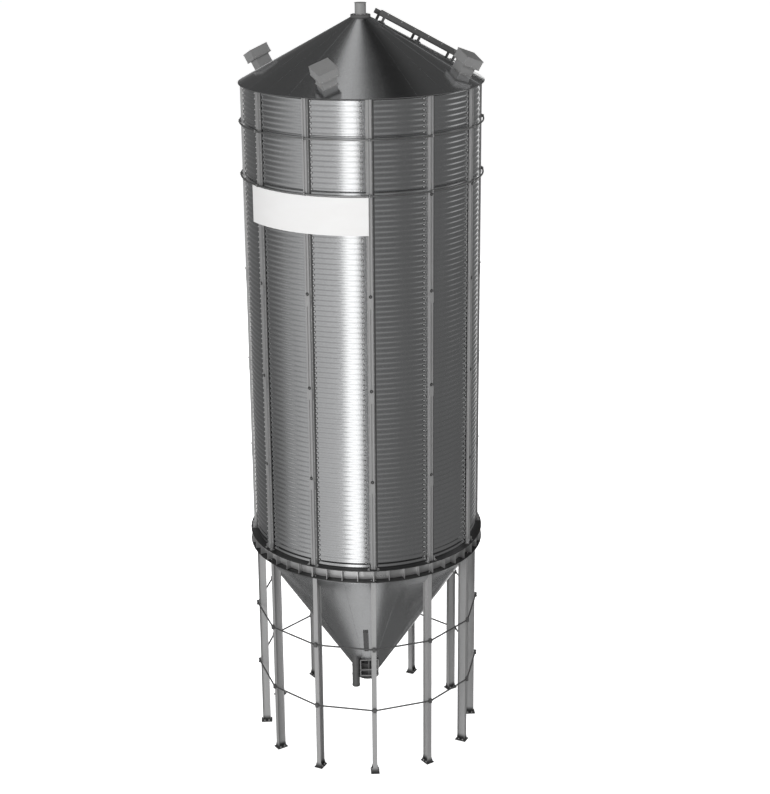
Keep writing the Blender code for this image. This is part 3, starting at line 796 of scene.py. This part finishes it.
def at_bay(radius, bay, height, across=0.0):
    """A point at one of the twelve legs, or some way to its right as seen from outside."""
    return at_angle(radius, bay * BAY, height) + facing_out(bay * BAY + 90.0) * across


def at_all_bays(radius, height, across=0.0, lift=0.0, outward=None):
    """Pairs for bolts at every leg, one on each side of its middle, or one above the other."""
    return [(at_bay(radius, bay, height + side * lift, side * across), outward or facing_out(bay * BAY))
            for bay in range(BAYS) for side in (-1, 1)]


print("bays:", BAYS)

# %% [markdown]
# The wall's sheets overlap at an upright seam beside each stiffener. One bolt holds every
# wave's crest there, on a black rubber washer that keeps the rain out. The seam lies left of
# the stiffener, but for one bay, where it lies right of it.

# %% Bolt the seams of the wall
SEAM_ANGLE = -3.5
ODD_BAY = 11
ODD_SEAM = 2.9
# Where the strip of painted shade lies, beside each stiffener's right flange.
SHADE_STRIP_ANGLES = (1.66, 2.35)
wall_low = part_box("wall_course_1")[0].z
wall_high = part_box("wall_course_4")[1].z

waves = range(int(wall_low / PITCH) + 1, int(wall_high / PITCH) + 1)
crests = [(wave + 0.25) * PITCH for wave in waves]
crests = [height for height in crests if wall_low + 0.03 < height < wall_high - 0.05]
seams = [bay * BAY + (ODD_SEAM if bay == ODD_BAY else SEAM_ANGLE) for bay in range(BAYS)]
places = [(at_angle(CREST_RADIUS - 0.001, seam, height), facing_out(seam))
          for seam in seams for height in crests]
add_bolts("seam_bolts", places, head=0.012, washer=0.021)
print("bolts in each seam:", len(crests))

# %% [markdown]
# ## Copies around the bin
# Much of the rest repeats around the bin, most of it at each of the twelve legs. A second tree
# takes the piece that belongs to the front and sets turned copies of it around the Z axis.

# %% Make the tree of turned copies
ring_net, ring_in = new_tree("turned_copies", {"Count": "Int", "Finish": "Material"})
line = ring_net.add("GeometryNodeMeshLine", {}, {
    "Count": ring_in.output("Count"), "Offset": Vector((0, 0, 0))})
share = ring_net.add("GeometryNodeInputIndex") * FULL_TURN / ring_in.output("Count")
spin = ring_net.add("ShaderNodeCombineXYZ", {}, {"Z": share})
copies = ring_net.add("GeometryNodeInstanceOnPoints", {}, {
    "Points": line, "Instance": ring_in, "Rotation": spin})
end_tree(ring_net, copies, ring_in.output("Finish"))


def add_copies(name, shape, slot="frame_steel", replaced=(), finish=None, count=BAYS):
    """Turned copies of what a bmesh holds at the front of the bin."""
    seed = closed_mesh(shape)
    mesh = grown(ring_net, seed, {"Count": count, "Finish": finish or FINISHES[slot]})
    return add_piece(name, mesh, slot, replaced)


def add_folded(shape, low, high, fold=0.003, matrix=None):
    """A box with its edges taken off, like bent sheet."""
    verts = add_block(shape, low, high, matrix)
    edges = list({edge for vert in verts for edge in vert.link_edges})
    bmesh.ops.bevel(shape, geom=edges, offset=fold, segments=2, affect="EDGES")


def add_bar(shape, first, last, radius, sides=12):
    """A closed round bar between two points."""
    first, last = Vector(first), Vector(last)
    along = last - first
    turn = along.to_track_quat("Z", "Y").to_matrix().to_4x4()
    matrix = Matrix.Translation((first + last) / 2) @ turn
    bmesh.ops.create_cone(shape, cap_ends=True, segments=sides, radius1=radius, radius2=radius,
                          depth=along.length, matrix=matrix)


print("copy tree ready")

# %% [markdown]
# A dark strip runs up beside the right flange of each stiffener: painted shade, where the
# stiffener's side would shade the wall. It bridges the waves from crest to crest, so it is a
# thin flat band, turned through less than a degree.

# %% Lay a strip of painted shade beside each stiffener
shade_strip_face, shade_strip_back = CREST_RADIUS + 0.0015, CREST_RADIUS - 0.0005
shade_strip_low, shade_strip_high = wall_low + 0.004, wall_high - 0.060
shade_strip_outline = [(shade_strip_face, shade_strip_low), (shade_strip_face, shade_strip_high), (shade_strip_back, shade_strip_high), (shade_strip_back, shade_strip_low)]
shade_strip_mesh = bmesh.new()
add_turned(shade_strip_mesh, shade_strip_outline, 1, *SHADE_STRIP_ANGLES)
add_copies("painted_shade_strips", shade_strip_mesh, "wall_sheet", finish=SHADE_STRIP)

# %% [markdown]
# ## The stiffeners
# A stiffener is a hat-shaped profile that carries the roof's weight past the thin wall. It
# comes in lengths: one sleeve and a big bolt cover each joint. Small bolts hold both of its
# flanges to the wall, and an angle cleat ties its foot to the ring girder.

# %% Sleeves, bolts and cleats
CROWN_RADIUS = 2.2953
FLANGE_RADIUS = 2.2493
FLANGE_BOLT = 0.0545
SPLICES = (9.96, 8.13, 6.31)
HIGH_SPLICE = 11.78
SPLICE_DROP = 0.035
SLEEVE_HEIGHT = 0.200
SLEEVE_HALF = 0.047
SLEEVE_CHEEK = (0.0468, 0.0500)
SIGN_BAYS = (10, 11, 0)
HOLD_STEP = 0.2
FIRST_HOLD = 0.15
CLEAT_ACROSS = (0.0645, 0.115)
CLEAT_WALL = 0.006
CLEAT_BACK = -2.253
CLEAT_FOOT = 0.008
CLEAT_BOLT = (2.296, 0.092)

sleeves = bmesh.new()
for splice in SPLICES:
    low, high = splice - SPLICE_DROP - SLEEVE_HEIGHT, splice - SPLICE_DROP
    add_folded(sleeves, (-SLEEVE_HALF, -CROWN_RADIUS - 0.0035, low),
               (SLEEVE_HALF, -CROWN_RADIUS - 0.0003, high), 0.001)
    for side in (-1, 1):
        left, right = sorted(side * edge for edge in SLEEVE_CHEEK)
        add_folded(sleeves, (left, -CROWN_RADIUS - 0.002, low), (right, -CROWN_RADIUS + 0.030, high),
                   0.001)
add_copies("stiffener_sleeves", sleeves)

joints = [(at_bay(CROWN_RADIUS, bay, height), facing_out(bay * BAY))
          for bay in range(BAYS) for height in SPLICES + (HIGH_SPLICE,)
          if height != HIGH_SPLICE or bay not in SIGN_BAYS]
add_bolts("splice_bolts", joints, head=0.018, washer=0.034, height=0.010, bright=DARK_STEEL)

steps = int((wall_high - wall_low - 0.25) / HOLD_STEP)
rows = [wall_low + FIRST_HOLD + HOLD_STEP * i for i in range(steps)]
holds = [pair for height in rows for pair in at_all_bays(FLANGE_RADIUS, height, FLANGE_BOLT)]
add_bolts("flange_bolts", holds, head=0.008, washer=0.0075, height=0.008, dark=BOLT_ZINC)

cleats = bmesh.new()
for side in (-1, 1):
    left, right = sorted(side * edge for edge in CLEAT_ACROSS)
    add_folded(cleats, (left, -2.335, wall_low), (right, CLEAT_BACK, wall_low + CLEAT_FOOT), 0.0015)
    left, right = sorted((side * CLEAT_ACROSS[0], side * (CLEAT_ACROSS[0] + CLEAT_WALL)))
    add_folded(cleats, (left, -2.325, wall_low + 0.004), (right, CLEAT_BACK, wall_low + 0.095), 0.0015)
add_copies("stiffener_cleats", cleats)
radius, across = CLEAT_BOLT
feet = at_all_bays(radius, wall_low + CLEAT_FOOT, across, outward=UP)
add_bolts("cleat_bolts", feet, head=0.012, washer=0.019, height=0.012, dark=DARK_STEEL)

# %% [markdown]
# ## The wind rings
# Two rings of tube go round the top of the bin outside the stiffeners and keep an empty bin
# round in a gale. The tubes come in bent lengths, joined by sleeves, and a clip with two bolts
# holds the ring to each stiffener.

# %% Bend the wind rings
WIND_RADIUS = 2.321
WIND_TUBE = 0.017
WIND_STEPS = 144
TUBE_SIDES = 16
SLEEVE_WALL = 0.0035
SLEEVE_SPAN = (13.0, 17.0)
CLIP_HALF = 0.026
CLIP_FACE = WIND_RADIUS + WIND_TUBE + 0.001


def tube_profile(level, radius):
    """The round section of a ring tube, as a closed outline."""
    return arc((WIND_RADIUS, level), radius, 0.0, 360.0 - 360.0 / TUBE_SIDES, TUBE_SIDES - 1)


for number in (1, 2):
    low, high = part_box(f"wind_ring_{number}")
    level = (low.z + high.z) / 2
    tube = turned(tube_profile(level, WIND_TUBE), WIND_STEPS)
    add_piece(f"wind_tube_{number}", tube, replaced=[f"wind_ring_{number}"], material=WIND_ZINC)
    clips = bmesh.new()
    add_folded(clips, (-CLIP_HALF, -CLIP_FACE, level - CLIP_HALF),
               (CLIP_HALF, -CROWN_RADIUS - 0.0006, level + CLIP_HALF), 0.004)
    sleeve = bmesh.new()
    add_turned(sleeve, tube_profile(level, WIND_TUBE + SLEEVE_WALL), 4, *SLEEVE_SPAN)
    add_copies(f"wind_sleeves_{number}", sleeve, count=4, finish=WIND_ZINC)
    add_copies(f"wind_clips_{number}", clips, finish=DARK_STEEL)
    ends = at_all_bays(CLIP_FACE, level, lift=CLIP_HALF / 2)
    add_studs(f"wind_nuts_{number}", ends, 6, 0.009, 0.009, BOLT_ZINC)

# %% [markdown]
# ## On the roof
# The roof is made of panels whose edges overlap in low ribs, and its eave ends in a rolled
# bead that stiffens it and throws the rain clear of the wall. Both follow the cone, so the
# ribs are laid in a frame that rests on its slope, and the bead is turned.

# %% Lay the ribs and roll the bead
ROOF_PANELS = 24
RIB_HALF_WIDTH = 0.008
RIB_HEIGHT = 0.0025
RIB_TOP_RADIUS = 0.22
BEAD_RADIUS = 0.0065


def slope_frame(degrees, radius, spin=0.0):
    """A frame on the roof: X across the slope, Y up the slope, Z square to the sheet."""
    turn = Matrix.Rotation(math.radians(degrees), 4, "Z")
    tilt = Matrix.Rotation(math.atan(ROOF_SLOPE), 4, "X")
    place = Matrix.Translation((0.0, -radius, roof_height(radius)))
    return turn @ place @ tilt @ Matrix.Rotation(math.radians(spin), 4, "Z")


ribs = bmesh.new()
rib_length = (EAVE_RADIUS - RIB_TOP_RADIUS) * math.hypot(1.0, ROOF_SLOPE)
add_folded(ribs, (-RIB_HALF_WIDTH, 0.004, -0.001), (RIB_HALF_WIDTH, rib_length, RIB_HEIGHT), 0.001,
           slope_frame(360.0 / ROOF_PANELS / 2, EAVE_RADIUS))
add_copies("roof_ribs", ribs, "roof_sheet", count=ROOF_PANELS)
# The bead is finished nearly black, so it also draws the dark line of shade under the eave: painted
# shade.
bead = arc((EAVE_RADIUS - 0.001, EAVE_HEIGHT - 0.006), BEAD_RADIUS, 0.0, 330.0, 11)
add_piece("eave_bead", turned(bead, CONE_STEPS), "roof_sheet", material=DARK_STEEL)

# %% [markdown]
# The filling inlet is a short pipe on a flat collar. Its rim carries a flange for the filling
# hose. All of it is round, so the pipe and the collar are each turned from a profile with
# softened corners, and the collar's ring of bolts comes from the bolt tree.

# %% Turn the inlet
INLET_RADIUS = 0.113
INLET_BORE = 0.103
INLET_TOP = 15.030
COLLAR_RADIUS = 0.190
COLLAR_HEIGHT = 0.048
COLLAR_CORNER = 0.008
COLLAR_BOLTS = 0.155
RIM_FLANGE = 0.014
RIM_CORNER = 0.003
BORE_CORNER = 0.002
ROOF_HOLE = 0.138
SEAT = 0.0005
PIPE_STEPS = 96

collar_base = roof_height(COLLAR_RADIUS) + SEAT
collar_top = collar_base + COLLAR_HEIGHT
pipe = INLET_RADIUS - 0.006
skirt = roof_height(ROOF_HOLE) - 0.0295
collar = [(COLLAR_RADIUS, collar_base)]
collar += arc((COLLAR_RADIUS - COLLAR_CORNER, collar_top - COLLAR_CORNER), COLLAR_CORNER, 0, 90, 4)
collar += [(pipe + SEAT, collar_top), (pipe + SEAT, roof_height(ROOF_HOLE) + SEAT),
           (ROOF_HOLE, roof_height(ROOF_HOLE) + SEAT)]
add_piece("inlet_collar", turned(collar, PIPE_STEPS), replaced=["roof_inlet"], material=DARK_STEEL)
inlet_profile = [(pipe, skirt), (pipe, INLET_TOP - RIM_FLANGE - 0.004),
                 (INLET_RADIUS, INLET_TOP - RIM_FLANGE)]
inlet_profile += arc((INLET_RADIUS - RIM_CORNER, INLET_TOP - RIM_CORNER), RIM_CORNER, 0, 90, 3)
inlet_profile += arc((INLET_BORE + BORE_CORNER, INLET_TOP - BORE_CORNER), BORE_CORNER, 90, 180, 3)
inlet_profile += [(INLET_BORE, skirt)]
add_piece("inlet_pipe", turned(inlet_profile, PIPE_STEPS), replaced=["roof_inlet"])
collar_bolts = [(at_angle(COLLAR_BOLTS, BAY * i, collar_top), UP) for i in range(BAYS)]
add_bolts("collar_bolts", collar_bolts, head=0.009, washer=0.014, height=0.009)

# %% [markdown]
# ## The roof vents
# Four vents let out the damp air that rises from the grain. Each is a square neck of folded
# sheet under a wider box, whose lid and lower hem stand a little proud. They sit square to
# the slope, corner to the eave. Every fold has a small radius, because bent sheet has one.

# %% Fold the vents
VENT_ANGLES = (-110.0, -21.5, 70.0, 160.0)
VENT_RADIUS = 1.950
NECK_HALF = 0.145
NECK_HEIGHT = 0.175
CAP_HALF = 0.200
CAP_HEIGHT = 0.190
HEM = 0.014
NECK_FLANGE = 0.016
NECK_ROOT = -0.014
VENT_TURN = 45.0
SCREWS = (-0.15, 0.0, 0.15)
cap_low = NECK_HEIGHT
cap_top = NECK_HEIGHT + CAP_HEIGHT
body_half = CAP_HALF - 0.006

vent_screws = []
for number, angle in enumerate(VENT_ANGLES, 1):
    frame_here = slope_frame(angle, VENT_RADIUS, VENT_TURN)
    vent = bmesh.new()
    for half, low, high in ((NECK_HALF + NECK_FLANGE, NECK_ROOT, 0.003),
                            (NECK_HALF, NECK_ROOT, NECK_HEIGHT + 0.002),
                            (CAP_HALF, cap_low, cap_low + HEM), (CAP_HALF, cap_top - HEM, cap_top),
                            (body_half, cap_low + HEM - 0.002, cap_top - 0.004)):
        fold = min(0.004, (high - low) / 4)
        add_folded(vent, (-half, -half, low), (half, half, high), fold, frame_here)
    add_piece(f"vent_{number}", closed_mesh(vent), "roof_sheet", [f"roof_vent_{number}"],
              material=VENT_ZINC)
    turn = frame_here.to_3x3()
    for quarter in range(4):
        side = Matrix.Rotation(quarter * math.pi / 2, 3, "Z")
        for along in SCREWS:
            for out, height in ((body_half, cap_low + 0.035), (NECK_HALF, 0.022)):
                spot = side @ Vector((along * out / body_half, -out, height))
                vent_screws.append((frame_here @ spot, turn @ side @ Vector((0, -1, 0))))
add_studs("vent_screws", vent_screws, 6, 0.007, 0.005, BOLT_ZINC, "roof_sheet")

# %% [markdown]
# The roof ladder leads up the roof to the inlet. Its stringers stand off the sheet on short
# feet. The ladder itself is the model's own solid. What it lacks is how it is held: a sole
# plate under every foot, with two bolts, and the nut at each end of every tread.

# %% Add the ladder's fixings
LADDER_ANGLE = 105.0
LADDER_LOW_RADIUS = 1.880
LADDER_TOP_RADIUS = 0.270
LADDER_HALF = 0.190
STRINGER = 0.030
TREAD_LEVEL = 0.170
TREAD_STEP = 0.300
FEET = (0.06, 0.5, 0.94)    # shares of the ladder's length, from its lower end
SOLE_TOP = 0.004
ladder_length = (LADDER_LOW_RADIUS - LADDER_TOP_RADIUS) * math.hypot(1.0, ROOF_SLOPE)
ladder_frame = slope_frame(LADDER_ANGLE, LADDER_LOW_RADIUS)
ladder_turn = ladder_frame.to_3x3()
soles = bmesh.new()
sole_bolts = []
for share in FEET:
    for side in (-1, 1):
        x = side * (LADDER_HALF - STRINGER / 2)
        y = share * ladder_length
        add_folded(soles, (x - 0.030, y - 0.060, -0.016), (x + 0.030, y + 0.060, SOLE_TOP), 0.0015,
                   ladder_frame)
        sole_bolts += [(ladder_frame @ Vector((x, y + end, SOLE_TOP)), ladder_turn @ UP)
                       for end in (-0.042, 0.042)]
add_piece("ladder_soles", closed_mesh(soles), material=DARK_STEEL)
add_bolts("ladder_bolts", sole_bolts, head=0.008, washer=0.013, height=0.008)
treads = int(ladder_length / TREAD_STEP)
ends = [Vector((side * LADDER_HALF, (i + 0.5) * ladder_length / treads, TREAD_LEVEL))
        for i in range(treads) for side in (-1, 1)]
nuts = [(ladder_frame @ end, ladder_turn @ Vector((math.copysign(1, end.x), 0, 0))) for end in ends]
add_studs("tread_nuts", nuts, 6, 0.010, 0.008, BOLT_ZINC)

# %% [markdown]
# ## The ring girder and the legs
# The girder's web is joined with bolted plates where its lengths meet, at every second leg. Each
# leg's head plate is bolted up to the girder's lower flange, and its foot plate has four anchor
# bolts. The web's plate is made once at the front and copied around.

# %% Bolt the frame together
WEB_RADIUS = 2.232
LOW_FLANGE = 4.269
HEAD_PLATE_LOW = 4.2397
LEG_MIDDLE = 2.1675
SPLICE_ANGLE = 3.75
SPLICE_HALF = 2.3
SPLICE_BOLTS = (-1.5, 0.0, 1.5)
PLATE_LOW, PLATE_HIGH = 4.300, 4.462
PLATE_FACE = WEB_RADIUS + 0.009
HEAD_BOLT = (2.285, 0.040)
LEG_BOLTS = (0.045, 0.060)
FOOT_PLATE = 0.020

girder_plates = bmesh.new()
half = WEB_RADIUS * math.tan(math.radians(SPLICE_HALF))
turn = Matrix.Rotation(math.radians(SPLICE_ANGLE), 4, "Z")
add_folded(girder_plates, (-half, -PLATE_FACE, PLATE_LOW), (half, -WEB_RADIUS + 0.004, PLATE_HIGH),
           0.002, turn)
add_copies("girder_plates", girder_plates, finish=RING_ZINC, count=BAYS // 2)
angles = [bay * 2 * BAY + SPLICE_ANGLE + offset for bay in range(BAYS // 2) for offset in SPLICE_BOLTS]
web_bolts = [(at_angle(PLATE_FACE, angle, height), facing_out(angle))
             for angle in angles for height in (PLATE_LOW + 0.035, PLATE_HIGH - 0.035)]
add_bolts("girder_bolts", web_bolts, head=0.011, washer=0.017, height=0.009, dark=DARK_STEEL)

radius, across = HEAD_BOLT
head_bolts = at_all_bays(radius, LOW_FLANGE, across, outward=UP)
anchors = []
depth, across = LEG_BOLTS
for radius in (LEG_MIDDLE - depth, LEG_MIDDLE + depth):
    head_bolts += at_all_bays(radius, HEAD_PLATE_LOW, across, outward=DOWN)
    anchors += at_all_bays(radius, FOOT_PLATE, across, outward=UP)
add_bolts("head_bolts", head_bolts, head=0.011, washer=0.018, height=0.010, dark=DARK_STEEL)
add_bolts("anchor_nuts", anchors, head=0.014, washer=0.023, height=0.016, dark=DARK_STEEL)
add_studs("anchor_rods", anchors, 8, 0.008, 0.040, DARK_STEEL)

# %% [markdown]
# ## The tie rods
# Two rings of rod brace the legs. Each rod is straight from one leg to the next. A dark clamp
# plate on the leg's outer flange grips both rods that meet there, and nuts lock their ends.

# %% Stretch the tie rods
TIE_RADIUS = 2.278
TIE_ROD = 0.016
LOCK_NUT = 0.023
LEG_FACE = 2.2505
CLAMP_FACE = 2.298
CLAMP_HALF = (0.030, 0.045)
for number in (1, 2):
    low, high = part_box(f"tie_ring_{number}")
    level = (low.z + high.z) / 2
    rods = bmesh.new()
    first, last = at_bay(TIE_RADIUS, 0, level), at_bay(TIE_RADIUS, 1, level)
    along = (last - first).normalized()
    add_bar(rods, first - along * 0.004, last + along * 0.004, TIE_ROD)
    for end, way in ((first, 1), (last, -1)):
        add_bar(rods, end + along * way * 0.034, end + along * way * 0.056, LOCK_NUT, 6)
    add_copies(f"tie_rods_{number}", rods, finish=TIE_ZINC, replaced=[f"tie_ring_{number}"])
    clamps = bmesh.new()
    half, tall = CLAMP_HALF
    add_folded(clamps, (-half, -CLAMP_FACE, level - tall), (half, -LEG_FACE, level + tall), 0.004)
    add_copies(f"tie_clamps_{number}", clamps, finish=DARK_STEEL)
    ends = at_all_bays(CLAMP_FACE, level, lift=half)
    add_studs(f"tie_nuts_{number}", ends, 6, 0.010, 0.010, DARK_STEEL)

# %% [markdown]
# ## The hopper's seams and its outlet
# The hopper is rolled from twelve tapering sheets, whose lapped edges run straight up its
# slope. Below it hang the outlet's spigot and flange, a box with an open front, and the tube
# for drawing off samples. A dark pane in a thin frame shows how full the hopper is.

# %% Lap the hopper's sheets
def hopper_frame(degrees, height):
    """A frame on the hopper: X across, Y up the slope, Z out of the sheet."""
    turn = Matrix.Rotation(math.radians(degrees), 4, "Z")
    tilt = Matrix.Rotation(math.pi - math.atan(HOPPER_SLOPE), 4, "X")
    return turn @ Matrix.Translation((0.0, -hopper_radius(height), height)) @ tilt


HOPPER_SEAM = 15.0
SEAM_LOW = 1.20
SEAM_TOP = 4.17
LAP_HALF = 0.012
BAND_TOP = 4.250
slant = math.hypot(1.0, HOPPER_SLOPE) / HOPPER_SLOPE
laps = bmesh.new()
add_folded(laps, (-LAP_HALF, 0.0, -0.001), (LAP_HALF, (SEAM_TOP - SEAM_LOW) * slant, 0.004), 0.0015,
           hopper_frame(HOPPER_SEAM, SEAM_LOW))
add_copies("hopper_laps", laps, "hopper_sheet")
# The band takes the ring girder's finish but lies below its undarkened band, so it is dark all round:
# painted shade under the girder's lower flange.
band = [(rim + 0.004, rim_height + 0.010), (rim + 0.004, BAND_TOP), (rim - 0.002, BAND_TOP),
        (rim - 0.002, rim_height)]
add_piece("hopper_band", turned(band, CONE_STEPS), "hopper_sheet", material=RING_ZINC)

# %% [markdown]
# The outlet is a short pipe with a bolted flange, turned from one profile. The tube keeps its
# solid and gains three clamp bands, turned around the Z axis and then moved to the tube.

# %% Turn the outlet and the tube
OUTLET_RADIUS = 0.200
OUTLET_BORE = 0.190
FLANGE_SHEET = 0.012
FLANGE_BOLTS = 8
outlet_low, outlet_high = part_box("outlet_spigot")
flange = outlet_high.x
step = outlet_low.z + FLANGE_SHEET
spigot = [(flange, outlet_low.z), (flange, step - 0.002), (flange - 0.002, step),
          (OUTLET_RADIUS + 0.006, step), (OUTLET_RADIUS, step + 0.006), (OUTLET_RADIUS, outlet_high.z),
          (OUTLET_BORE, outlet_high.z), (OUTLET_BORE, outlet_low.z)]
add_piece("outlet_pipe", turned(spigot, PIPE_STEPS), replaced=["outlet_spigot"], material=DARK_STEEL)
bolt_circle = (flange + OUTLET_RADIUS) / 2 + 0.002
rim_bolts = [(at_angle(bolt_circle, 360.0 / FLANGE_BOLTS * (i + 0.5), outlet_low.z), DOWN)
             for i in range(FLANGE_BOLTS)]
add_bolts("outlet_bolts", rim_bolts, head=0.008, washer=0.012, height=0.008, dark=DARK_STEEL)

TUBE_CENTRE = (-0.2745, -0.470)
TUBE_RADIUS = 0.0775
BAND_LEVELS = (0.020, 0.270, 0.480)
BAND_HALF = 0.011
tube_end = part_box("draw_off_tube")[0].z
bands = bmesh.new()
for level in BAND_LEVELS:
    low, high = tube_end + level - BAND_HALF, tube_end + level + BAND_HALF
    inner, outer = TUBE_RADIUS - 0.001, TUBE_RADIUS + 0.005
    add_turned(bands, [(outer, low), (outer, high), (inner, high), (inner, low)], 48)
bmesh.ops.translate(bands, verts=bands.verts, vec=(*TUBE_CENTRE, 0.0))
add_piece("tube_bands", closed_mesh(bands), material=DARK_STEEL)

# %% [markdown]
# The box and the pane keep their solids. The box gains a bent frame around its open front, a
# slide plate with a pull bar, and bolts. The pane gains its frame and screws.

# %% Frame the box and the pane
BOX_HALF = 0.192
BOX_FRONT = -0.550
BOX_LOW = 1.262
BOX_TOP = 1.640
BOX_EDGE = 0.020
BOX_RAIL = 1.392
PULL_LEVEL = 1.330
PULL_ENDS = (0.040, 0.145)
PULL_POSTS = (0.047, 0.138)
box_frame = bmesh.new()
for left, right, low, high in ((-BOX_HALF, BOX_HALF, BOX_LOW, BOX_LOW + BOX_EDGE),
                               (-BOX_HALF, BOX_HALF, BOX_TOP - BOX_EDGE, BOX_TOP),
                               (-BOX_HALF, -BOX_HALF + BOX_EDGE, BOX_LOW, BOX_TOP),
                               (BOX_HALF - BOX_EDGE, BOX_HALF, BOX_LOW, BOX_TOP),
                               (-BOX_HALF, BOX_HALF, BOX_RAIL, BOX_RAIL + BOX_EDGE)):
    add_folded(box_frame, (left, BOX_FRONT - 0.006, low), (right, BOX_FRONT - 0.0004, high), 0.0015)
add_piece("box_frame", closed_mesh(box_frame), material=ROD_ZINC)
slide = bmesh.new()
add_folded(slide, (0.020, BOX_FRONT + 0.030, BOX_LOW + 0.018),
           (0.165, BOX_FRONT + 0.038, BOX_RAIL - 0.004), 0.002)
pull = BOX_FRONT + 0.016
add_bar(slide, (PULL_ENDS[0], pull, PULL_LEVEL), (PULL_ENDS[1], pull, PULL_LEVEL), 0.007)
for x in PULL_POSTS:
    add_bar(slide, (x, pull - 0.002, PULL_LEVEL), (x, pull + 0.018, PULL_LEVEL), 0.005)
add_piece("box_slide", closed_mesh(slide), material=DARK_STEEL)
box_bolts = [(Vector((x, BOX_FRONT - 0.006, z)), facing_out(0.0)) for x in (-0.182, -0.06, 0.06, 0.182)
             for z in (BOX_LOW + BOX_EDGE / 2, BOX_TOP - BOX_EDGE / 2)]
add_studs("box_bolts", box_bolts, 6, 0.006, 0.006, BOLT_ZINC)

WINDOW_ANGLE = -5.0
WINDOW_LOW = 1.990
WINDOW_HIGH = 2.620
WINDOW_HALF = 0.052
WINDOW_OPENING = 0.036
WINDOW_FACE = 0.034
window_length = (WINDOW_HIGH - WINDOW_LOW) * slant
pane_frame = hopper_frame(WINDOW_ANGLE, WINDOW_LOW)
border = bmesh.new()
foot, top = -0.009, window_length + 0.009
for left, right, low, high in ((-WINDOW_HALF, WINDOW_HALF, foot, 0.010),
                               (-WINDOW_HALF, WINDOW_HALF, top - 0.019, top),
                               (-WINDOW_HALF, -WINDOW_OPENING, foot, top),
                               (WINDOW_OPENING, WINDOW_HALF, foot, top)):
    add_folded(border, (left, low, -0.004), (right, high, WINDOW_FACE), 0.002, pane_frame)
add_piece("window_frame", closed_mesh(border), material=DARK_STEEL)
middle = (WINDOW_HALF + WINDOW_OPENING) / 2
pane_screws = [(pane_frame @ Vector((x, y, WINDOW_FACE)), pane_frame.to_3x3() @ UP)
               for x in (-middle, middle) for y in (0.03, window_length / 2, window_length - 0.03)]
add_studs("window_screws", pane_screws, 6, 0.005, 0.004, BOLT_ZINC)

# %% [markdown]
# ## The sign sheet
# A plain white sheet is bent around the front of the bin over the stiffeners. Its long edges
# are folded back for stiffness, and rivets hold it at every stiffener.

# %% Bend the sign sheet
SIGN_ANGLES = (-66.0, -0.5)
SIGN_FACE = 2.3025
SIGN_BACK = 2.2965
SIGN_SHEET = 0.002
SIGN_STEPS = 96
RIVET_ANGLES = (-65.0, -60.0, -30.0, -1.3)
sign_low, sign_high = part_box("sign_panel")
under, over = sign_low.z, sign_high.z
inner = SIGN_FACE - SIGN_SHEET
sign_profile = [(SIGN_FACE, under + 0.001), (SIGN_FACE, over - 0.001), (SIGN_FACE - 0.001, over),
                (SIGN_BACK, over), (SIGN_BACK, over - SIGN_SHEET), (inner, over - SIGN_SHEET),
                (inner, under + SIGN_SHEET), (SIGN_BACK, under + SIGN_SHEET), (SIGN_BACK, under),
                (SIGN_FACE - 0.001, under)]
add_piece("sign_sheet", turned(sign_profile, SIGN_STEPS, *SIGN_ANGLES), "sign_white", ["sign_panel"])
rivets = [(at_angle(SIGN_FACE, degrees, height), facing_out(degrees))
          for degrees in RIVET_ANGLES for height in (under + 0.030, over - 0.030)]
add_studs("sign_rivets", rivets, 10, 0.007, 0.003, FINISHES["sign_white"], "sign_white")
